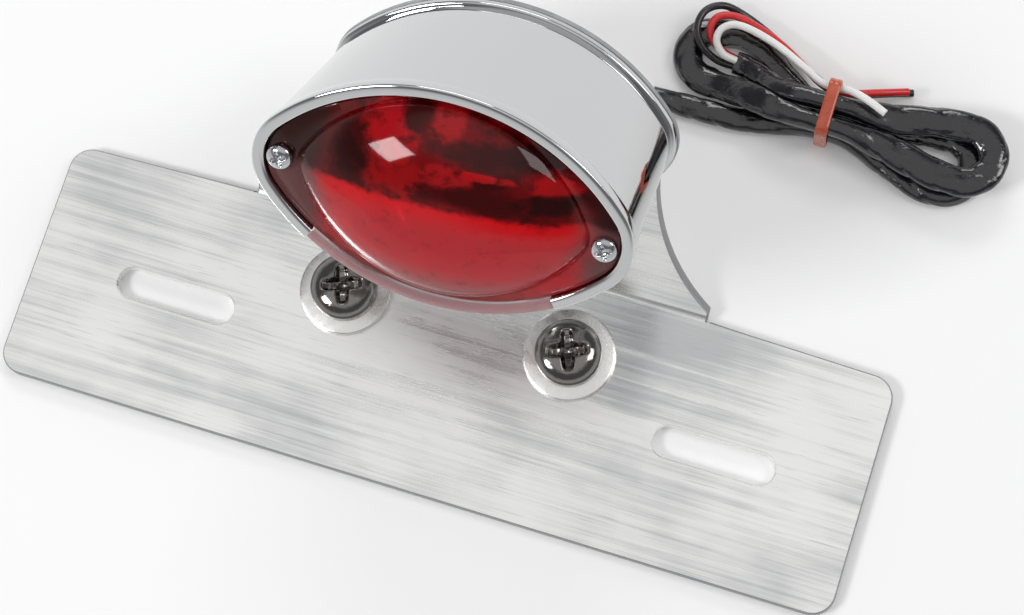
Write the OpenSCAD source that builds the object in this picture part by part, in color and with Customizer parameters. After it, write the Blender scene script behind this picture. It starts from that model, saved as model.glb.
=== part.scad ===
// Motorcycle tail light: a cat-eye lamp on a bent aluminium number plate bracket.
// All sizes are in millimetres. The plate lies flat on its back in the XY plane, +Y points up
// the plate and +Z out of its face. The origin is midway between the two fender screws, on the
// plate's back. The lamp stands on a neck that bends up from the plate's top edge.

/* [Bracket] */
// Width of the plate
plate_w = 203; // [170:1:240]
// Height of the plate, from its lower edge to its shoulders
plate_h = 57; // [46:1:70]
// Thickness of the bracket sheet
sheet_t = 3; // [2:0.5:4]
// Corner radius of the plate
plate_corner_r = 5.5; // [2:0.5:9]
// How far the plate's shoulders drop towards its ends
shoulder_drop = 1.4; // [0:0.2:3]
// Height of the fender screws over the middle of the plate
screw_line_up = 12.7; // [10:0.1:14]
// Distance from the fender screws' line to the bend
bend_line_up = 17.2; // [15:0.1:22]
// Angle by which the neck is bent up from the plate
bend_angle = 45; // [30:1:60]
// Inside radius of the bend
bend_r = 3; // [2:0.5:5]
// Radius of the two hollow curves that narrow the neck
neck_fillet_r = 44.5; // [42:0.5:48]
// Margin of the neck's top inside the lens outline
neck_inset = 2.3; // [2:0.1:4]

/* [Number plate slots] */
// Distance between the centres of the two slots
slot_pitch = 132; // [120:1:150]
// Length of a slot from end to end
slot_l = 29; // [20:1:36]
// Width of a slot
slot_w = 7.6; // [6:0.2:9]
// How far the slots' line lies below the fender screws
slot_drop = 12.7; // [10:0.1:16]

/* [Fender screws] */
// Distance between the two fender screws
fender_pitch = 55; // [50:1:64]
// Thread diameter of the fender screws
fender_d = 8; // [6:0.5:8]
// Diameter of a fender screw's head
fender_head_d = 15.6; // [14:0.2:17]
// Height of a fender screw's head
fender_head_h = 5.6; // [4:0.2:7]
// Outer diameter of a fender washer
fender_washer_d = 21.6; // [19:0.2:24]
// Thickness of a fender washer
fender_washer_t = 1.6; // [1:0.2:2.4]

/* [Lamp] */
// Distance of the lamp's axis from the bend, along the neck
lamp_up = 42; // [40:0.5:46]
// Length of the lens opening, from tip to tip
lens_w = 79; // [74:0.5:84]
// Height of the lens opening
lens_h = 47; // [44:0.5:50]
// Radius of the two tips of the lens opening
tip_r = 10.5; // [9:0.5:12]
// Height of the front rim over the neck
lamp_depth = 50.5; // [48:0.5:56]
// Wall of the housing
housing_wall = 1.4; // [1.2:0.1:2]
// Width of the bright front rim
rim_w = 2.8; // [2.2:0.1:3.4]
// How far the housing's foot lies inside the lens outline
foot_inset = 0.3; // [0:0.1:0.6]
// Thickness of the gasket between the housing and the neck
gasket_t = 1.5; // [1:0.1:2.5]
// Floor of the housing
floor_t = 1.8; // [1.4:0.1:2.4]

/* [Lens] */
// Thickness of the lens wall
lens_t = 2; // [1.6:0.1:2.6]
// How far the lens bulges out of the rim
lens_bulge = 8; // [6:0.5:10]
// Length of the bulge, from tip to tip
bulge_w = 65; // [62:1:66]
// Distance between the two lens screws
lens_screw_pitch = 72; // [70:0.2:73]
// Thread diameter of the lens screws
lens_screw_d = 3; // [2.5:0.1:3.2]
// Head diameter of a lens screw
lens_screw_head_d = 5.8; // [5:0.2:6.4]
// Half the angle of the number plate window, seen from the centre of its arc
window_half_angle = 33; // [24:1:36]
// Depth of the number plate window behind the rim
window_depth = 22; // [14:1:26]

/* [Bulb] */
// Diameter of the bulb's bayonet base
bulb_base_d = 15; // [13:0.5:16]
// Length of the bulb's base
bulb_base_l = 15.5; // [14:0.5:18]
// Diameter of the bulb's glass
bulb_d = 25; // [20:0.5:26]
// Length of the whole bulb
bulb_l = 45.5; // [44:0.5:47]

/* [Lamp fixing] */
// Distance between the two mounting studs
stud_pitch = 48; // [44:1:52]
// Diameter of a mounting stud
stud_d = 5; // [4:0.5:6]
// Bore of the wire grommet
grommet_bore = 5; // [4.6:0.2:6]

/* [Wiring] */
// Outer diameter of one wire
wire_d = 1.8; // [1.4:0.1:1.8]
// Outer diameter of the sleeve over the wires
sleeve_d = 4.8; // [4.5:0.1:4.9]
// Width of the tie round the hank
tie_w = 3; // [2:0.5:5]
// Thickness of the tie
tie_t = 1; // [0.8:0.1:1.2]

/* [Hidden] */

// Clearances
slip = 0.1;                 // between parts that touch
hole_gap = 0.25;            // round a screw or stud in its clearance hole
lens_gap = 0.25;            // round the lens and the window in their openings

// Plate and neck
plate_mid_y = -screw_line_up;
plate_low_y = plate_mid_y - plate_h / 2;
shoulder_y = plate_mid_y + plate_h / 2;
bend_tangent = bend_r * tan(bend_angle / 2);
flat_end_y = bend_line_up - bend_tangent;
slot_r = slot_w / 2;

// Lens outline: two large arcs joined by two tip arcs
half_w = lens_w / 2;
half_h = lens_h / 2;
tip_x = half_w - tip_r;
arc_r = (tip_x * tip_x + half_h * half_h - tip_r * tip_r) / (2 * (half_h - tip_r));
arc_y = arc_r - half_h;
arc_start = atan2(arc_y, tip_x);
seam_x = arc_r * cos(arc_start);

// The neck narrows to the width of its own top
neck_half_w = half_w - neck_inset;
neck_fillet_x = neck_half_w + neck_fillet_r;
neck_fillet_y = lamp_up - 4.2;
neck_foot_z = bend_tangent + 0.6;
neck_foot_half_w = neck_fillet_x - sqrt(pow(neck_fillet_r, 2)
                                        - pow(neck_fillet_y - neck_foot_z, 2));
relief_w = 0.8;
relief_y = flat_end_y - 0.4;

// Heights along the lamp's axis, from the front face of the neck
housing_z = gasket_t;
floor_z = housing_z + floor_t;
floor_step = 0.3;
rim_z = lamp_depth;
lens_flange_t = 2.2;
lens_seat_z = rim_z - 1.1 - lens_flange_t;
lens_gasket_t = 1;
ledge_z = lens_seat_z - lens_gasket_t;
ledge_t = 1.6;
foot_lip = 1.1;
foot_lip_h = 2;
rim_back = 4;

// Bulb and socket, from the housing's floor
socket_z = floor_z + slip;
socket_t = 0.7;
socket_r = bulb_base_d / 2 + 0.25;
socket_h = 17;
socket_flange_r = 11.5;
spring_h = 2.6;
disc_t = 1.6;
disc_z = socket_z + socket_t + slip + spring_h;
contact_gap = 0.6;
bulb_z = disc_z + disc_t + contact_gap + 1.1;
bulb_pin_z = bulb_z + 5;

// Fixings of the lamp
stud_r = stud_d / 2;
boss_r = stud_r + 2;
boss_h = 10;
stud_washer_t = 1;
lock_washer_t = 1.2;
nut_t = 4;
nut_across_flats = 8;
grommet_hole_r = 6.2;
grommet_lip = 2;
grommet_lip_t = 1.3;

// Wires: three in a bundle, from the socket through the grommet to the sleeve
wire_r = wire_d / 2;
bundle_r = 1.22 * wire_r;
sleeve_r = sleeve_d / 2;
hank_step = sleeve_d + 0.55;

// The hank lies on the same surface as the plate, round the point where it is tied
hank_x = 68.5;
hank_y = 71;
mouth_u = -41;
tail_u = -24.5;
// Place of each run where it is tied and at the hank's ends: across, then layer
waist_v = [-0.5, 0.5, -0.5, 0.5];
waist_w = [0, 0, 1, 1];
right_v = [-10.2, 5.8, -8.4, 7.6];
right_w = [0, 0, 1, 1];
left_v = [-5.2, 15.8, 0.8, 8.2];
// Over which distances from the tie each run spreads and climbs, to the right and to the left
right_spread = [[2, 29], [2, 29], [2, 33], [2, 33]];
left_spread = [[0, 24], [0, 26], [9, 30], [9, 24.5]];
right_climb = [[0, 17], [0, 17], [0, 17], [0, 17]];
left_climb = [[0, 17], [0, 17], [13, 30], [7, 24.5]];
// Where the folds start at each end of the runs that they join
right_u = [29, 29, 33, 33];
left_u = [mouth_u, -30, -30, tail_u];
last_run = len(waist_v) - 1;
fold_rings = 6;
run_rings = 9;
tube_sides = 6;

// Route of the bundle from the grommet down to the sleeve, in the row's own axes
bundle_route = [[0.5, 57.5, 22], [2.5, 62, 15.5], [7, 65, 9], [13.5, 66.3, 4.8],
                [20.5, 66.1, 2.9], [27.5, 65.8, 2.4]];
// Routes of the free wire ends, from the sleeve under the tie
white_end = [[44, 79.2, 3.5], [40.8, 79.5, 5], [38.6, 81.6, 6.6], [38.9, 84.4, 7.6],
             [41.6, 86.2, 8], [46, 86, 8], [53, 84, 7.8], [60, 80.6, 8.4], [65, 77.9, 9],
             [68.5, 77.2, 9.1], [72, 77.2, 10.7], [76.5, 75.6, 12.5], [81.5, 73.6, 12.4]];
red_end = [[44, 80.1, 1.9], [40.4, 80.8, 2.8], [37.2, 82.4, 5], [36.2, 85.2, 6.4],
           [37.6, 87.8, 6.6], [41.5, 88.8, 6.4], [47, 87.6, 6.2], [53, 85.4, 5.9],
           [59, 82, 6.1], [64.5, 78.4, 6.9], [68.5, 77.2, 7.1], [72, 77.6, 7],
           [78, 79.8, 6.2], [85, 82.6, 4.6]];
black_end = [[44, 78.2, 1.9], [39.6, 78.4, 2.6], [35.6, 80, 4.8], [33.2, 83.6, 6.6],
             [34, 88.2, 6.8], [37.8, 91, 6], [43, 90.8, 3.4], [49, 88.6, 1.6],
             [55, 85.6, 1.2], [60, 82.4, 2], [64.5, 79.6, 4.2], [68.5, 77.2, 5.1],
             [72, 77.9, 4.4], [78, 80.8, 2.2], [86, 83.8, 1]];
wire_sides = 8;

// Fineness of round shapes
fine = 96;
round_fn = 48;
small_fn = 32;

// Smooth step from 0 to 1 between a and b
function smooth(a, b, x) = let (t = min(1, max(0, (x - a) / (b - a)))) t * t * (3 - 2 * t);

// Value between p and q at share t
function blend(p, q, t) = p + (q - p) * t;

// Points of an eye outline of half length a, half height b and tip radius r, anticlockwise
function eye_points(a, b, r, arc_n, tip_n) =
    let (tx = a - r,
         big = (tx * tx + b * b - r * r) / (2 * (b - r)),
         cy = big - b,
         s = atan2(cy, tx))
    concat(
        [for (i = [0 : tip_n - 1]) let (t = -s + 2 * s * i / tip_n)
            [tx + r * cos(t), r * sin(t)]],
        [for (i = [0 : arc_n - 1]) let (t = s + (180 - 2 * s) * i / arc_n)
            [big * cos(t), -cy + big * sin(t)]],
        [for (i = [0 : tip_n - 1]) let (t = 180 - s + 2 * s * i / tip_n)
            [-tx + r * cos(t), r * sin(t)]],
        [for (i = [0 : arc_n - 1]) let (t = 180 + s + (180 - 2 * s) * i / arc_n)
            [big * cos(t), cy + big * sin(t)]]);

// Moves its children from the neck's axes to the row's: along the neck is +Y, the lamp is +Z
module on_neck() {
    translate([0, bend_line_up, sheet_t]) rotate([bend_angle, 0, 0]) children();
}

// Moves its children onto the lamp's axis
module on_lamp() {
    on_neck() translate([0, lamp_up, 0]) children();
}

// Flat eye outline, grown by grow beyond the lens opening
module eye_area(grow = 0) {
    for (side = [-1, 1]) translate([side * tip_x, 0]) circle(r = tip_r + grow, $fn = fine);
    intersection() {
        translate([0, -arc_y]) circle(r = arc_r + grow, $fn = 4 * fine);
        translate([0, arc_y]) circle(r = arc_r + grow, $fn = 4 * fine);
        square([2 * seam_x, 4 * half_h], center = true);
    }
}

// Disc of the eye outline
module eye_disc(grow, h) {
    linear_extrude(height = h) eye_area(grow);
}

// Carries a profile round the lens outline: x is outwards from it, y is along the lamp's axis
module eye_sweep() {
    for (side = [0, 180]) {
        rotate([0, 0, side]) translate([0, -arc_y, 0]) rotate([0, 0, arc_start])
            rotate_extrude(angle = 180 - 2 * arc_start, $fn = 3 * fine)
                translate([arc_r, 0]) children();
        rotate([0, 0, side]) translate([tip_x, 0, 0]) rotate([0, 0, -arc_start])
            rotate_extrude(angle = 2 * arc_start, $fn = fine)
                translate([tip_r, 0]) children();
    }
}

// Carries a profile along the middle of the lower arc only
module lower_arc_sweep(half_angle) {
    translate([0, arc_y, 0]) rotate([0, 0, 270 - half_angle])
        rotate_extrude(angle = 2 * half_angle, $fn = 3 * fine)
            translate([arc_r, 0]) children();
}

// Tube of radius r along points, with straight cuts at both ends
module tube(points, r, sides) {
    n = len(points);
    rings = [for (i = [0 : n - 1])
        let (a = points[max(0, i - 1)], b = points[min(n - 1, i + 1)],
             t = (b - a) / norm(b - a),
             level = cross(t, [0, 0, 1]), side = level / norm(level),
             up = cross(side, t))
        for (k = [0 : sides - 1])
            points[i] + r * (cos(360 * k / sides) * side + sin(360 * k / sides) * up)];
    ends = [for (k = [0 : sides - 1]) k];
    walls = [for (i = [0 : n - 2], k = [0 : sides - 1])
        let (p = i * sides + k, q = i * sides + (k + 1) % sides)
        each [[p, p + sides, q + sides], [p, q + sides, q]]];
    polyhedron(points = rings,
               faces = concat([[for (k = ends) k]], walls,
                              [[for (k = ends) n * sides - 1 - k]]));
}

// Cross recess for a screw head, open upwards from depth below zero
module cross_recess(width, depth) {
    for (turn = [0, 90]) rotate([0, 0, turn])
        translate([-width / 2, -width / 9, -depth]) cube([width, width / 4.5, 2 * depth]);
    cylinder(r = width / 4.4, h = 2 * depth, center = true, $fn = small_fn);
}

// Domed pan head: flat below, a rim wall and a shallow crown above
module pan_head(d, h) {
    wall = 0.45 * h;
    crown = h - wall;
    crown_r = (d * d / 4 + crown * crown) / (2 * crown);
    difference() {
        union() {
            cylinder(d = d, h = wall, $fn = round_fn);
            translate([0, 0, wall]) intersection() {
                translate([0, 0, crown - crown_r]) sphere(r = crown_r, $fn = round_fn);
                cylinder(d = d, h = crown, $fn = round_fn);
            }
        }
        translate([0, 0, h]) cross_recess(0.5 * d, 0.42 * h);
    }
}

// One bent sheet: the plate, the bend and the neck under the lamp
module mounting_bracket() {
    color([0.84, 0.84, 0.87]) {
        difference() {
            plate_blank();
            for (side = [-1, 1]) {
                translate([side * fender_pitch / 2, 0, -1])
                    cylinder(r = fender_d / 2 + hole_gap, h = sheet_t + 2, $fn = round_fn);
                translate([side * slot_pitch / 2, -slot_drop, -1])
                    linear_extrude(height = sheet_t + 2) slot_area();
            }
        }
        bend();
        on_neck() difference() {
            translate([0, 0, -sheet_t]) linear_extrude(height = sheet_t) neck_area();
            translate([0, lamp_up, -sheet_t - 1]) {
                cylinder(r = grommet_hole_r, h = sheet_t + 2, $fn = round_fn);
                for (side = [-1, 1]) translate([side * stud_pitch / 2, 0, 0])
                    cylinder(r = stud_r + hole_gap, h = sheet_t + 2, $fn = round_fn);
            }
        }
    }
}

// Outline of the plate: round corners, shoulders that slope down from the neck, and a small
// relief notch at each end of the bend
module plate_blank() {
    corner_x = plate_w / 2 - plate_corner_r;
    linear_extrude(height = sheet_t) {
        polygon([[-plate_w / 2, plate_low_y + plate_corner_r],
                 [-corner_x, plate_low_y], [corner_x, plate_low_y],
                 [plate_w / 2, plate_low_y + plate_corner_r],
                 [plate_w / 2, shoulder_y - plate_corner_r],
                 [corner_x, shoulder_y],
                 [neck_foot_half_w + relief_w, shoulder_y + shoulder_drop],
                 [neck_foot_half_w + relief_w, relief_y],
                 [neck_foot_half_w, relief_y],
                 [neck_foot_half_w, flat_end_y],
                 [-neck_foot_half_w, flat_end_y],
                 [-neck_foot_half_w, relief_y],
                 [-neck_foot_half_w - relief_w, relief_y],
                 [-neck_foot_half_w - relief_w, shoulder_y + shoulder_drop],
                 [-corner_x, shoulder_y],
                 [-plate_w / 2, shoulder_y - plate_corner_r]]);
        for (x = [-corner_x, corner_x],
             y = [plate_low_y + plate_corner_r, shoulder_y - plate_corner_r])
            translate([x, y]) circle(r = plate_corner_r, $fn = round_fn);
    }
}

// Long hole with round ends
module slot_area() {
    square([slot_l - slot_w, slot_w], center = true);
    for (side = [-1, 1]) translate([side * (slot_l / 2 - slot_r), 0])
        circle(r = slot_r, $fn = round_fn);
}

// The curved strip between the plate and the neck
module bend() {
    reach = 3 * (bend_r + sheet_t);
    translate([-neck_foot_half_w, flat_end_y, sheet_t + bend_r]) rotate([90, 0, 90])
        linear_extrude(height = 2 * neck_foot_half_w) intersection() {
            difference() {
                circle(r = bend_r + sheet_t, $fn = fine);
                circle(r = bend_r, $fn = fine);
            }
            polygon([[0, 0], [0, -reach], [reach * sin(bend_angle), -reach],
                     [reach * sin(bend_angle), -reach * cos(bend_angle)]]);
        }
}

// The neck narrows in two hollow curves and ends in the shape of the lamp's foot
module neck_area() {
    difference() {
        translate([-neck_foot_half_w, bend_tangent])
            square([2 * neck_foot_half_w, lamp_up - bend_tangent]);
        for (side = [-1, 1]) translate([side * neck_fillet_x, neck_fillet_y])
            circle(r = neck_fillet_r, $fn = 2 * fine);
    }
    translate([0, lamp_up]) eye_area(-neck_inset);
}

// Two large pan head screws; their shanks end level with the plate's back
module fender_screws() {
    color([0.62, 0.62, 0.64])
        for (side = [-1, 1]) translate([side * fender_pitch / 2, 0, 0]) {
            translate([0, 0, sheet_t + fender_washer_t]) pan_head(fender_head_d, fender_head_h);
            cylinder(d = fender_d, h = sheet_t + fender_washer_t, $fn = round_fn);
        }
}

// Broad flat washers under the fender screws
module fender_washers() {
    color([0.9, 0.9, 0.88])
        for (side = [-1, 1]) translate([side * fender_pitch / 2, 0, sheet_t]) difference() {
            cylinder(d = fender_washer_d, h = fender_washer_t, $fn = round_fn);
            translate([0, 0, -1])
                cylinder(r = fender_d / 2 + slip, h = fender_washer_t + 2, $fn = round_fn);
        }
}

// Rubber pad in the shape of the lamp's foot
module base_gasket() {
    color([0.16, 0.16, 0.17]) on_lamp() difference() {
        eye_disc(foot_lip - foot_inset + 0.2, gasket_t);
        translate([0, 0, -1]) {
            cylinder(r = grommet_hole_r + grommet_lip + hole_gap, h = gasket_t + 2,
                     $fn = round_fn);
            for (side = [-1, 1]) translate([side * stud_pitch / 2, 0, 0])
                cylinder(r = stud_r + hole_gap, h = gasket_t + 2, $fn = round_fn);
        }
    }
}

// Section of the housing's wall: foot lip, drafted wall, ledge for the lens and round rim
module housing_profile() {
    out_low = -foot_inset;
    out_high = rim_w - 0.6;
    wall_top = rim_z - rim_back;
    bead_r = rim_w / 2;
    polygon(concat(
        [[-foot_inset - housing_wall - 1, housing_z],
         [foot_lip - foot_inset, housing_z],
         [foot_lip - foot_inset, housing_z + foot_lip_h - 0.4],
         [foot_lip - foot_inset - 0.4, housing_z + foot_lip_h],
         [out_low, housing_z + foot_lip_h],
         [out_high, wall_top],
         [rim_w, wall_top + 0.8]],
        [for (t = [0 : 20 : 180])
            [bead_r + bead_r * cos(t), rim_z - bead_r * 0.6 + bead_r * 0.6 * sin(t)]],
        [[0, ledge_z],
         [-ledge_t, ledge_z],
         [-ledge_t, ledge_z - 1.4],
         [out_high - housing_wall, ledge_z - 1.4 - ledge_t],
         [out_low - housing_wall, floor_z - floor_step],
         [-foot_inset - housing_wall - 1, floor_z - floor_step]]));
}

// Opening for the number plate window, as a section of the lower arc
module window_opening() {
    lower_arc_sweep(window_half_angle)
        translate([-6, rim_z - window_depth]) square([12, window_depth + 4]);
}

// Bright shell: a drafted eye-shaped tube with a floor, two bosses and two screw posts
module lamp_housing() {
    color([0.86, 0.88, 0.9]) on_lamp() difference() {
        union() {
            difference() {
                eye_sweep() housing_profile();
                window_opening();
            }
            translate([0, 0, housing_z + floor_step])
                eye_disc(-foot_inset - housing_wall - 0.5, floor_t - floor_step);
            for (side = [-1, 1]) {
                translate([side * stud_pitch / 2, 0, floor_z - 1])
                    cylinder(r = boss_r, h = boss_h + 1, $fn = round_fn);
                translate([side * lens_screw_pitch / 2, 0, floor_z - 1])
                    cylinder(r = 2.6, h = ledge_z - floor_step - floor_z + 1, $fn = round_fn);
            }
        }
        translate([0, 0, housing_z - 1])
            cylinder(r = grommet_bore / 2 + 1, h = floor_t + 2, $fn = round_fn);
        for (side = [-1, 1]) {
            translate([side * stud_pitch / 2, 0, housing_z - 1])
                cylinder(r = stud_r + slip / 2, h = floor_t + boss_h, $fn = round_fn);
            translate([side * lens_screw_pitch / 2, 0, ledge_z - 14])
                cylinder(r = lens_screw_d / 2 + slip / 2, h = 15, $fn = small_fn);
        }
    }
}

// Thin seal between the ledge and the lens
module lens_gasket() {
    color([0.1, 0.1, 0.1]) on_lamp() difference() {
        eye_sweep() translate([-ledge_t, ledge_z])
            square([ledge_t - lens_gap, lens_gasket_t - slip]);
        window_opening();
    }
}

// Outline of the bulge at share s of its size
function bulge_ring(s, grow) =
    eye_points(s * (bulge_w / 2) + grow, s * (half_h - 0.9) + grow, s * 7 + grow / 2, 12, 4);

// Solid cushion over the bulge's outline: height falls from top to foot as a superellipse
module cushion(foot_z, top_z, grow) {
    shares = [1, 0.985, 0.955, 0.9, 0.82, 0.7, 0.54, 0.34, 0.12];
    rings = [for (s = shares) bulge_ring(s, grow)];
    n = len(rings[0]);
    lift = [for (s = shares) foot_z + (top_z - foot_z) * pow(1 - pow(s, 2.6), 0.5)];
    points = concat(
        [for (k = [0 : len(shares) - 1], p = rings[k]) [p[0], p[1], lift[k]]],
        [[0, 0, top_z]]);
    walls = [for (k = [0 : len(shares) - 2], i = [0 : n - 1])
        let (a = k * n + i, b = k * n + (i + 1) % n)
        each [[a, a + n, b + n], [a, b + n, b]]];
    last = (len(shares) - 1) * n;
    cap = [for (i = [0 : n - 1]) [last + i, last + n, last + (i + 1) % n]];
    foot = [[for (i = [0 : n - 1]) i]];
    polyhedron(points = points, faces = concat(foot, walls, cap));
}

// Red lens: a flat flange in the rim, with a hollow bulge between the two screws
module red_lens() {
    flange_top = lens_seat_z + lens_flange_t;
    color([0.75, 0.03, 0.08, 0.8]) on_lamp() difference() {
        union() {
            translate([0, 0, lens_seat_z]) eye_disc(-lens_gap, lens_flange_t);
            cushion(flange_top - 0.5, rim_z + lens_bulge, 0);
        }
        cushion(lens_seat_z - 0.6, rim_z + lens_bulge - lens_t, -lens_t);
        for (side = [-1, 1]) translate([side * lens_screw_pitch / 2, 0, lens_seat_z - 1])
            cylinder(r = lens_screw_d / 2 + hole_gap, h = lens_flange_t + 4, $fn = small_fn);
    }
}

// Clear strip that fills the opening in the lower wall and lights the number plate
module plate_window() {
    inner = rim_w - 0.6 - housing_wall;
    color([0.93, 0.9, 0.88, 0.5]) on_lamp()
        lower_arc_sweep(window_half_angle - 0.3) polygon([
            [inner, rim_z - window_depth + lens_gap],
            [inner + housing_wall, rim_z - window_depth + lens_gap],
            [rim_w - 0.2, rim_z - rim_back],
            [rim_w - 0.2, rim_z - 0.8],
            [rim_w - 0.8, rim_z - 0.2],
            [0, rim_z - 0.2],
            [0, ledge_z],
            [inner, ledge_z - ledge_t]]);
}

// Small pan head screws that hold the lens on its posts
module lens_screws() {
    flange_top = lens_seat_z + lens_flange_t;
    color([0.8, 0.82, 0.85])
        on_lamp() for (side = [-1, 1]) translate([side * lens_screw_pitch / 2, 0, 0]) {
            translate([0, 0, flange_top + slip]) pan_head(lens_screw_head_d, 2.2);
            translate([0, 0, ledge_z - 12])
                cylinder(r = lens_screw_d / 2, h = flange_top + slip - ledge_z + 12,
                         $fn = small_fn);
        }
}

// Bowl round the bulb that throws its light forwards
module reflector() {
    low = socket_z + socket_t + slip;
    throat = socket_r + socket_t + 0.5;
    bowl_h = 24;
    mouth_r = 19.5;
    color([0.95, 0.95, 0.95]) on_lamp() rotate_extrude($fn = fine) polygon(concat(
        [[socket_flange_r, low], [throat, low]],
        [for (t = [0 : 0.125 : 1]) [blend(throat, mouth_r, sqrt(t)), low + 1.2 + bowl_h * t]],
        [for (t = [1 : -0.125 : 0.125])
            [blend(throat, mouth_r, sqrt(t)) + 0.9, low + bowl_h * t + 0.7]],
        [[socket_flange_r, low + 1]]));
}

// Hollow pear-shaped glass of the bulb
module bulb_glass() {
    glass_r = bulb_d / 2;
    wall = 0.7;
    centre_z = bulb_z + bulb_l - glass_r;
    foot_r = bulb_base_d / 2 - 0.9;
    foot_z = bulb_z + bulb_base_l - 2.5;
    color([0.95, 0.95, 1, 0.35]) on_lamp() rotate_extrude($fn = fine) polygon(concat(
        [[foot_r - wall, foot_z], [foot_r, foot_z], [foot_r, foot_z + 5]],
        [for (t = [-50 : 10 : 80]) [glass_r * cos(t), centre_z + glass_r * sin(t)]],
        [[0, centre_z + glass_r], [0, centre_z + glass_r - wall]],
        [for (t = [80 : -10 : -50])
            [(glass_r - wall) * cos(t), centre_z + (glass_r - wall) * sin(t)]],
        [[foot_r - wall, foot_z + 5]]));
}

// Two filaments on four support wires over a glass stem
module bulb_filaments() {
    stem_z = bulb_z + bulb_base_l - 2.3;
    stem_h = 7;
    color([0.7, 0.7, 0.72]) on_lamp() {
        translate([0, 0, stem_z]) cylinder(r = 4.4, h = stem_h, $fn = small_fn);
        for (pair = [[-2.2, 14], [2.2, 18]]) {
            for (x = [-2.6, 2.6]) translate([x, pair[0], stem_z + stem_h - 1])
                cylinder(r = 0.3, h = pair[1] - stem_h + 1, $fn = 16);
            translate([-3.2, pair[0], stem_z + pair[1]]) rotate([0, 90, 0])
                cylinder(r = 0.55, h = 6.4, $fn = 16);
        }
    }
}

// Bayonet base of the bulb, with two pins at unequal heights
module bulb_base() {
    r = bulb_base_d / 2;
    color([0.8, 0.72, 0.45]) on_lamp() {
        difference() {
            translate([0, 0, bulb_z]) cylinder(r = r, h = bulb_base_l, $fn = round_fn);
            translate([0, 0, bulb_z + bulb_base_l - 2.7])
                cylinder(r = r - 0.8, h = 4, $fn = round_fn);
        }
        for (side = [0, 1]) rotate([0, 0, 180 * side])
            translate([r - 1, 0, bulb_pin_z + 1.5 * side]) rotate([0, 90, 0])
                cylinder(r = 0.95, h = 1 + 0.25 + socket_t, $fn = small_fn);
    }
}

// Two solder contacts under the bulb
module bulb_contacts() {
    color([0.6, 0.6, 0.62]) on_lamp() for (side = [-1, 1])
        translate([side * 3.2, 0, bulb_z - 1.1]) cylinder(r = 1.9, h = 1.1, $fn = small_fn);
}

// Socket with a flange on the floor and two slots for the bulb's pins
module socket_shell() {
    color([0.85, 0.83, 0.7]) on_lamp() difference() {
        translate([0, 0, socket_z]) {
            cylinder(r = socket_r + socket_t, h = socket_h, $fn = round_fn);
            cylinder(r = socket_flange_r, h = socket_t, $fn = round_fn);
        }
        translate([0, 0, socket_z + socket_t])
            cylinder(r = socket_r, h = socket_h, $fn = round_fn);
        translate([0, 0, socket_z - 1])
            cylinder(r = grommet_bore / 2 + 1, h = socket_t + 2, $fn = round_fn);
        for (side = [0, 1]) rotate([0, 0, 180 * side])
            translate([0, -1.15, bulb_pin_z + 1.5 * side - 1.15])
                cube([socket_r + socket_t + 1, 2.3, socket_h]);
    }
}

// Insulating disc that carries the two contact pins
module contact_disc() {
    color([0.55, 0.35, 0.2]) on_lamp() difference() {
        translate([0, 0, disc_z]) cylinder(r = socket_r - 0.25, h = disc_t, $fn = round_fn);
        for (side = [-1, 1]) translate([side * 3.2, 0, disc_z - 1])
            cylinder(r = 1 + slip / 2, h = disc_t + 2, $fn = small_fn);
    }
}

// Flat coils that press the disc against the bulb, drawn as closed rings
module contact_spring() {
    color([0.75, 0.75, 0.78]) on_lamp()
        for (k = [0 : 2]) translate([0, 0, socket_z + socket_t + slip + spring_h * (k + 0.5) / 3])
            rotate_extrude($fn = round_fn) translate([5.6, 0]) circle(r = spring_h / 6, $fn = 16);
}

// Two round contacts in the disc
module contact_pins() {
    color([0.85, 0.65, 0.3]) on_lamp() for (side = [-1, 1])
        translate([side * 3.2, 0, disc_z - 0.4]) {
            cylinder(r = 1, h = disc_t + 0.4 + slip, $fn = small_fn);
            translate([0, 0, disc_t + 0.4 + slip])
                cylinder(r = 1.7, h = contact_gap - slip, $fn = small_fn);
            cylinder(r = 1.7, h = 0.35, $fn = small_fn);
        }
}

// Studs from the housing's bosses through the neck
module mounting_studs() {
    back = sheet_t + stud_washer_t + lock_washer_t + nut_t + 1.5;
    color([0.72, 0.73, 0.75]) on_lamp() for (side = [-1, 1])
        translate([side * stud_pitch / 2, 0, -back])
            cylinder(r = stud_r, h = back + floor_z + boss_h - 2, $fn = round_fn);
}

// Flat washers against the neck's back
module stud_washers() {
    color([0.8, 0.8, 0.82]) on_lamp() for (side = [-1, 1])
        translate([side * stud_pitch / 2, 0, -sheet_t - stud_washer_t]) difference() {
            cylinder(r = 2 * stud_r, h = stud_washer_t - slip / 2, $fn = round_fn);
            translate([0, 0, -1])
                cylinder(r = stud_r + slip, h = stud_washer_t + 2, $fn = round_fn);
        }
}

// Split spring washers
module stud_lock_washers() {
    color([0.66, 0.67, 0.7]) on_lamp() for (side = [-1, 1])
        translate([side * stud_pitch / 2, 0, -sheet_t - stud_washer_t - lock_washer_t])
            difference() {
                cylinder(r = 1.8 * stud_r, h = lock_washer_t - slip / 2, $fn = round_fn);
                translate([0, 0, -1])
                    cylinder(r = stud_r + slip, h = lock_washer_t + 2, $fn = round_fn);
                translate([0, -0.3, -1]) cube([2 * stud_r, 0.6, lock_washer_t + 2]);
            }
}

// Hexagon nuts on the studs
module stud_nuts() {
    back = sheet_t + stud_washer_t + lock_washer_t + nut_t;
    color([0.78, 0.79, 0.81]) on_lamp() for (side = [-1, 1])
        translate([side * stud_pitch / 2, 0, -back]) difference() {
            cylinder(r = nut_across_flats / sqrt(3), h = nut_t - slip / 2, $fn = 6);
            translate([0, 0, -1]) cylinder(r = stud_r + slip / 2, h = nut_t + 2, $fn = round_fn);
        }
}

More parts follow.
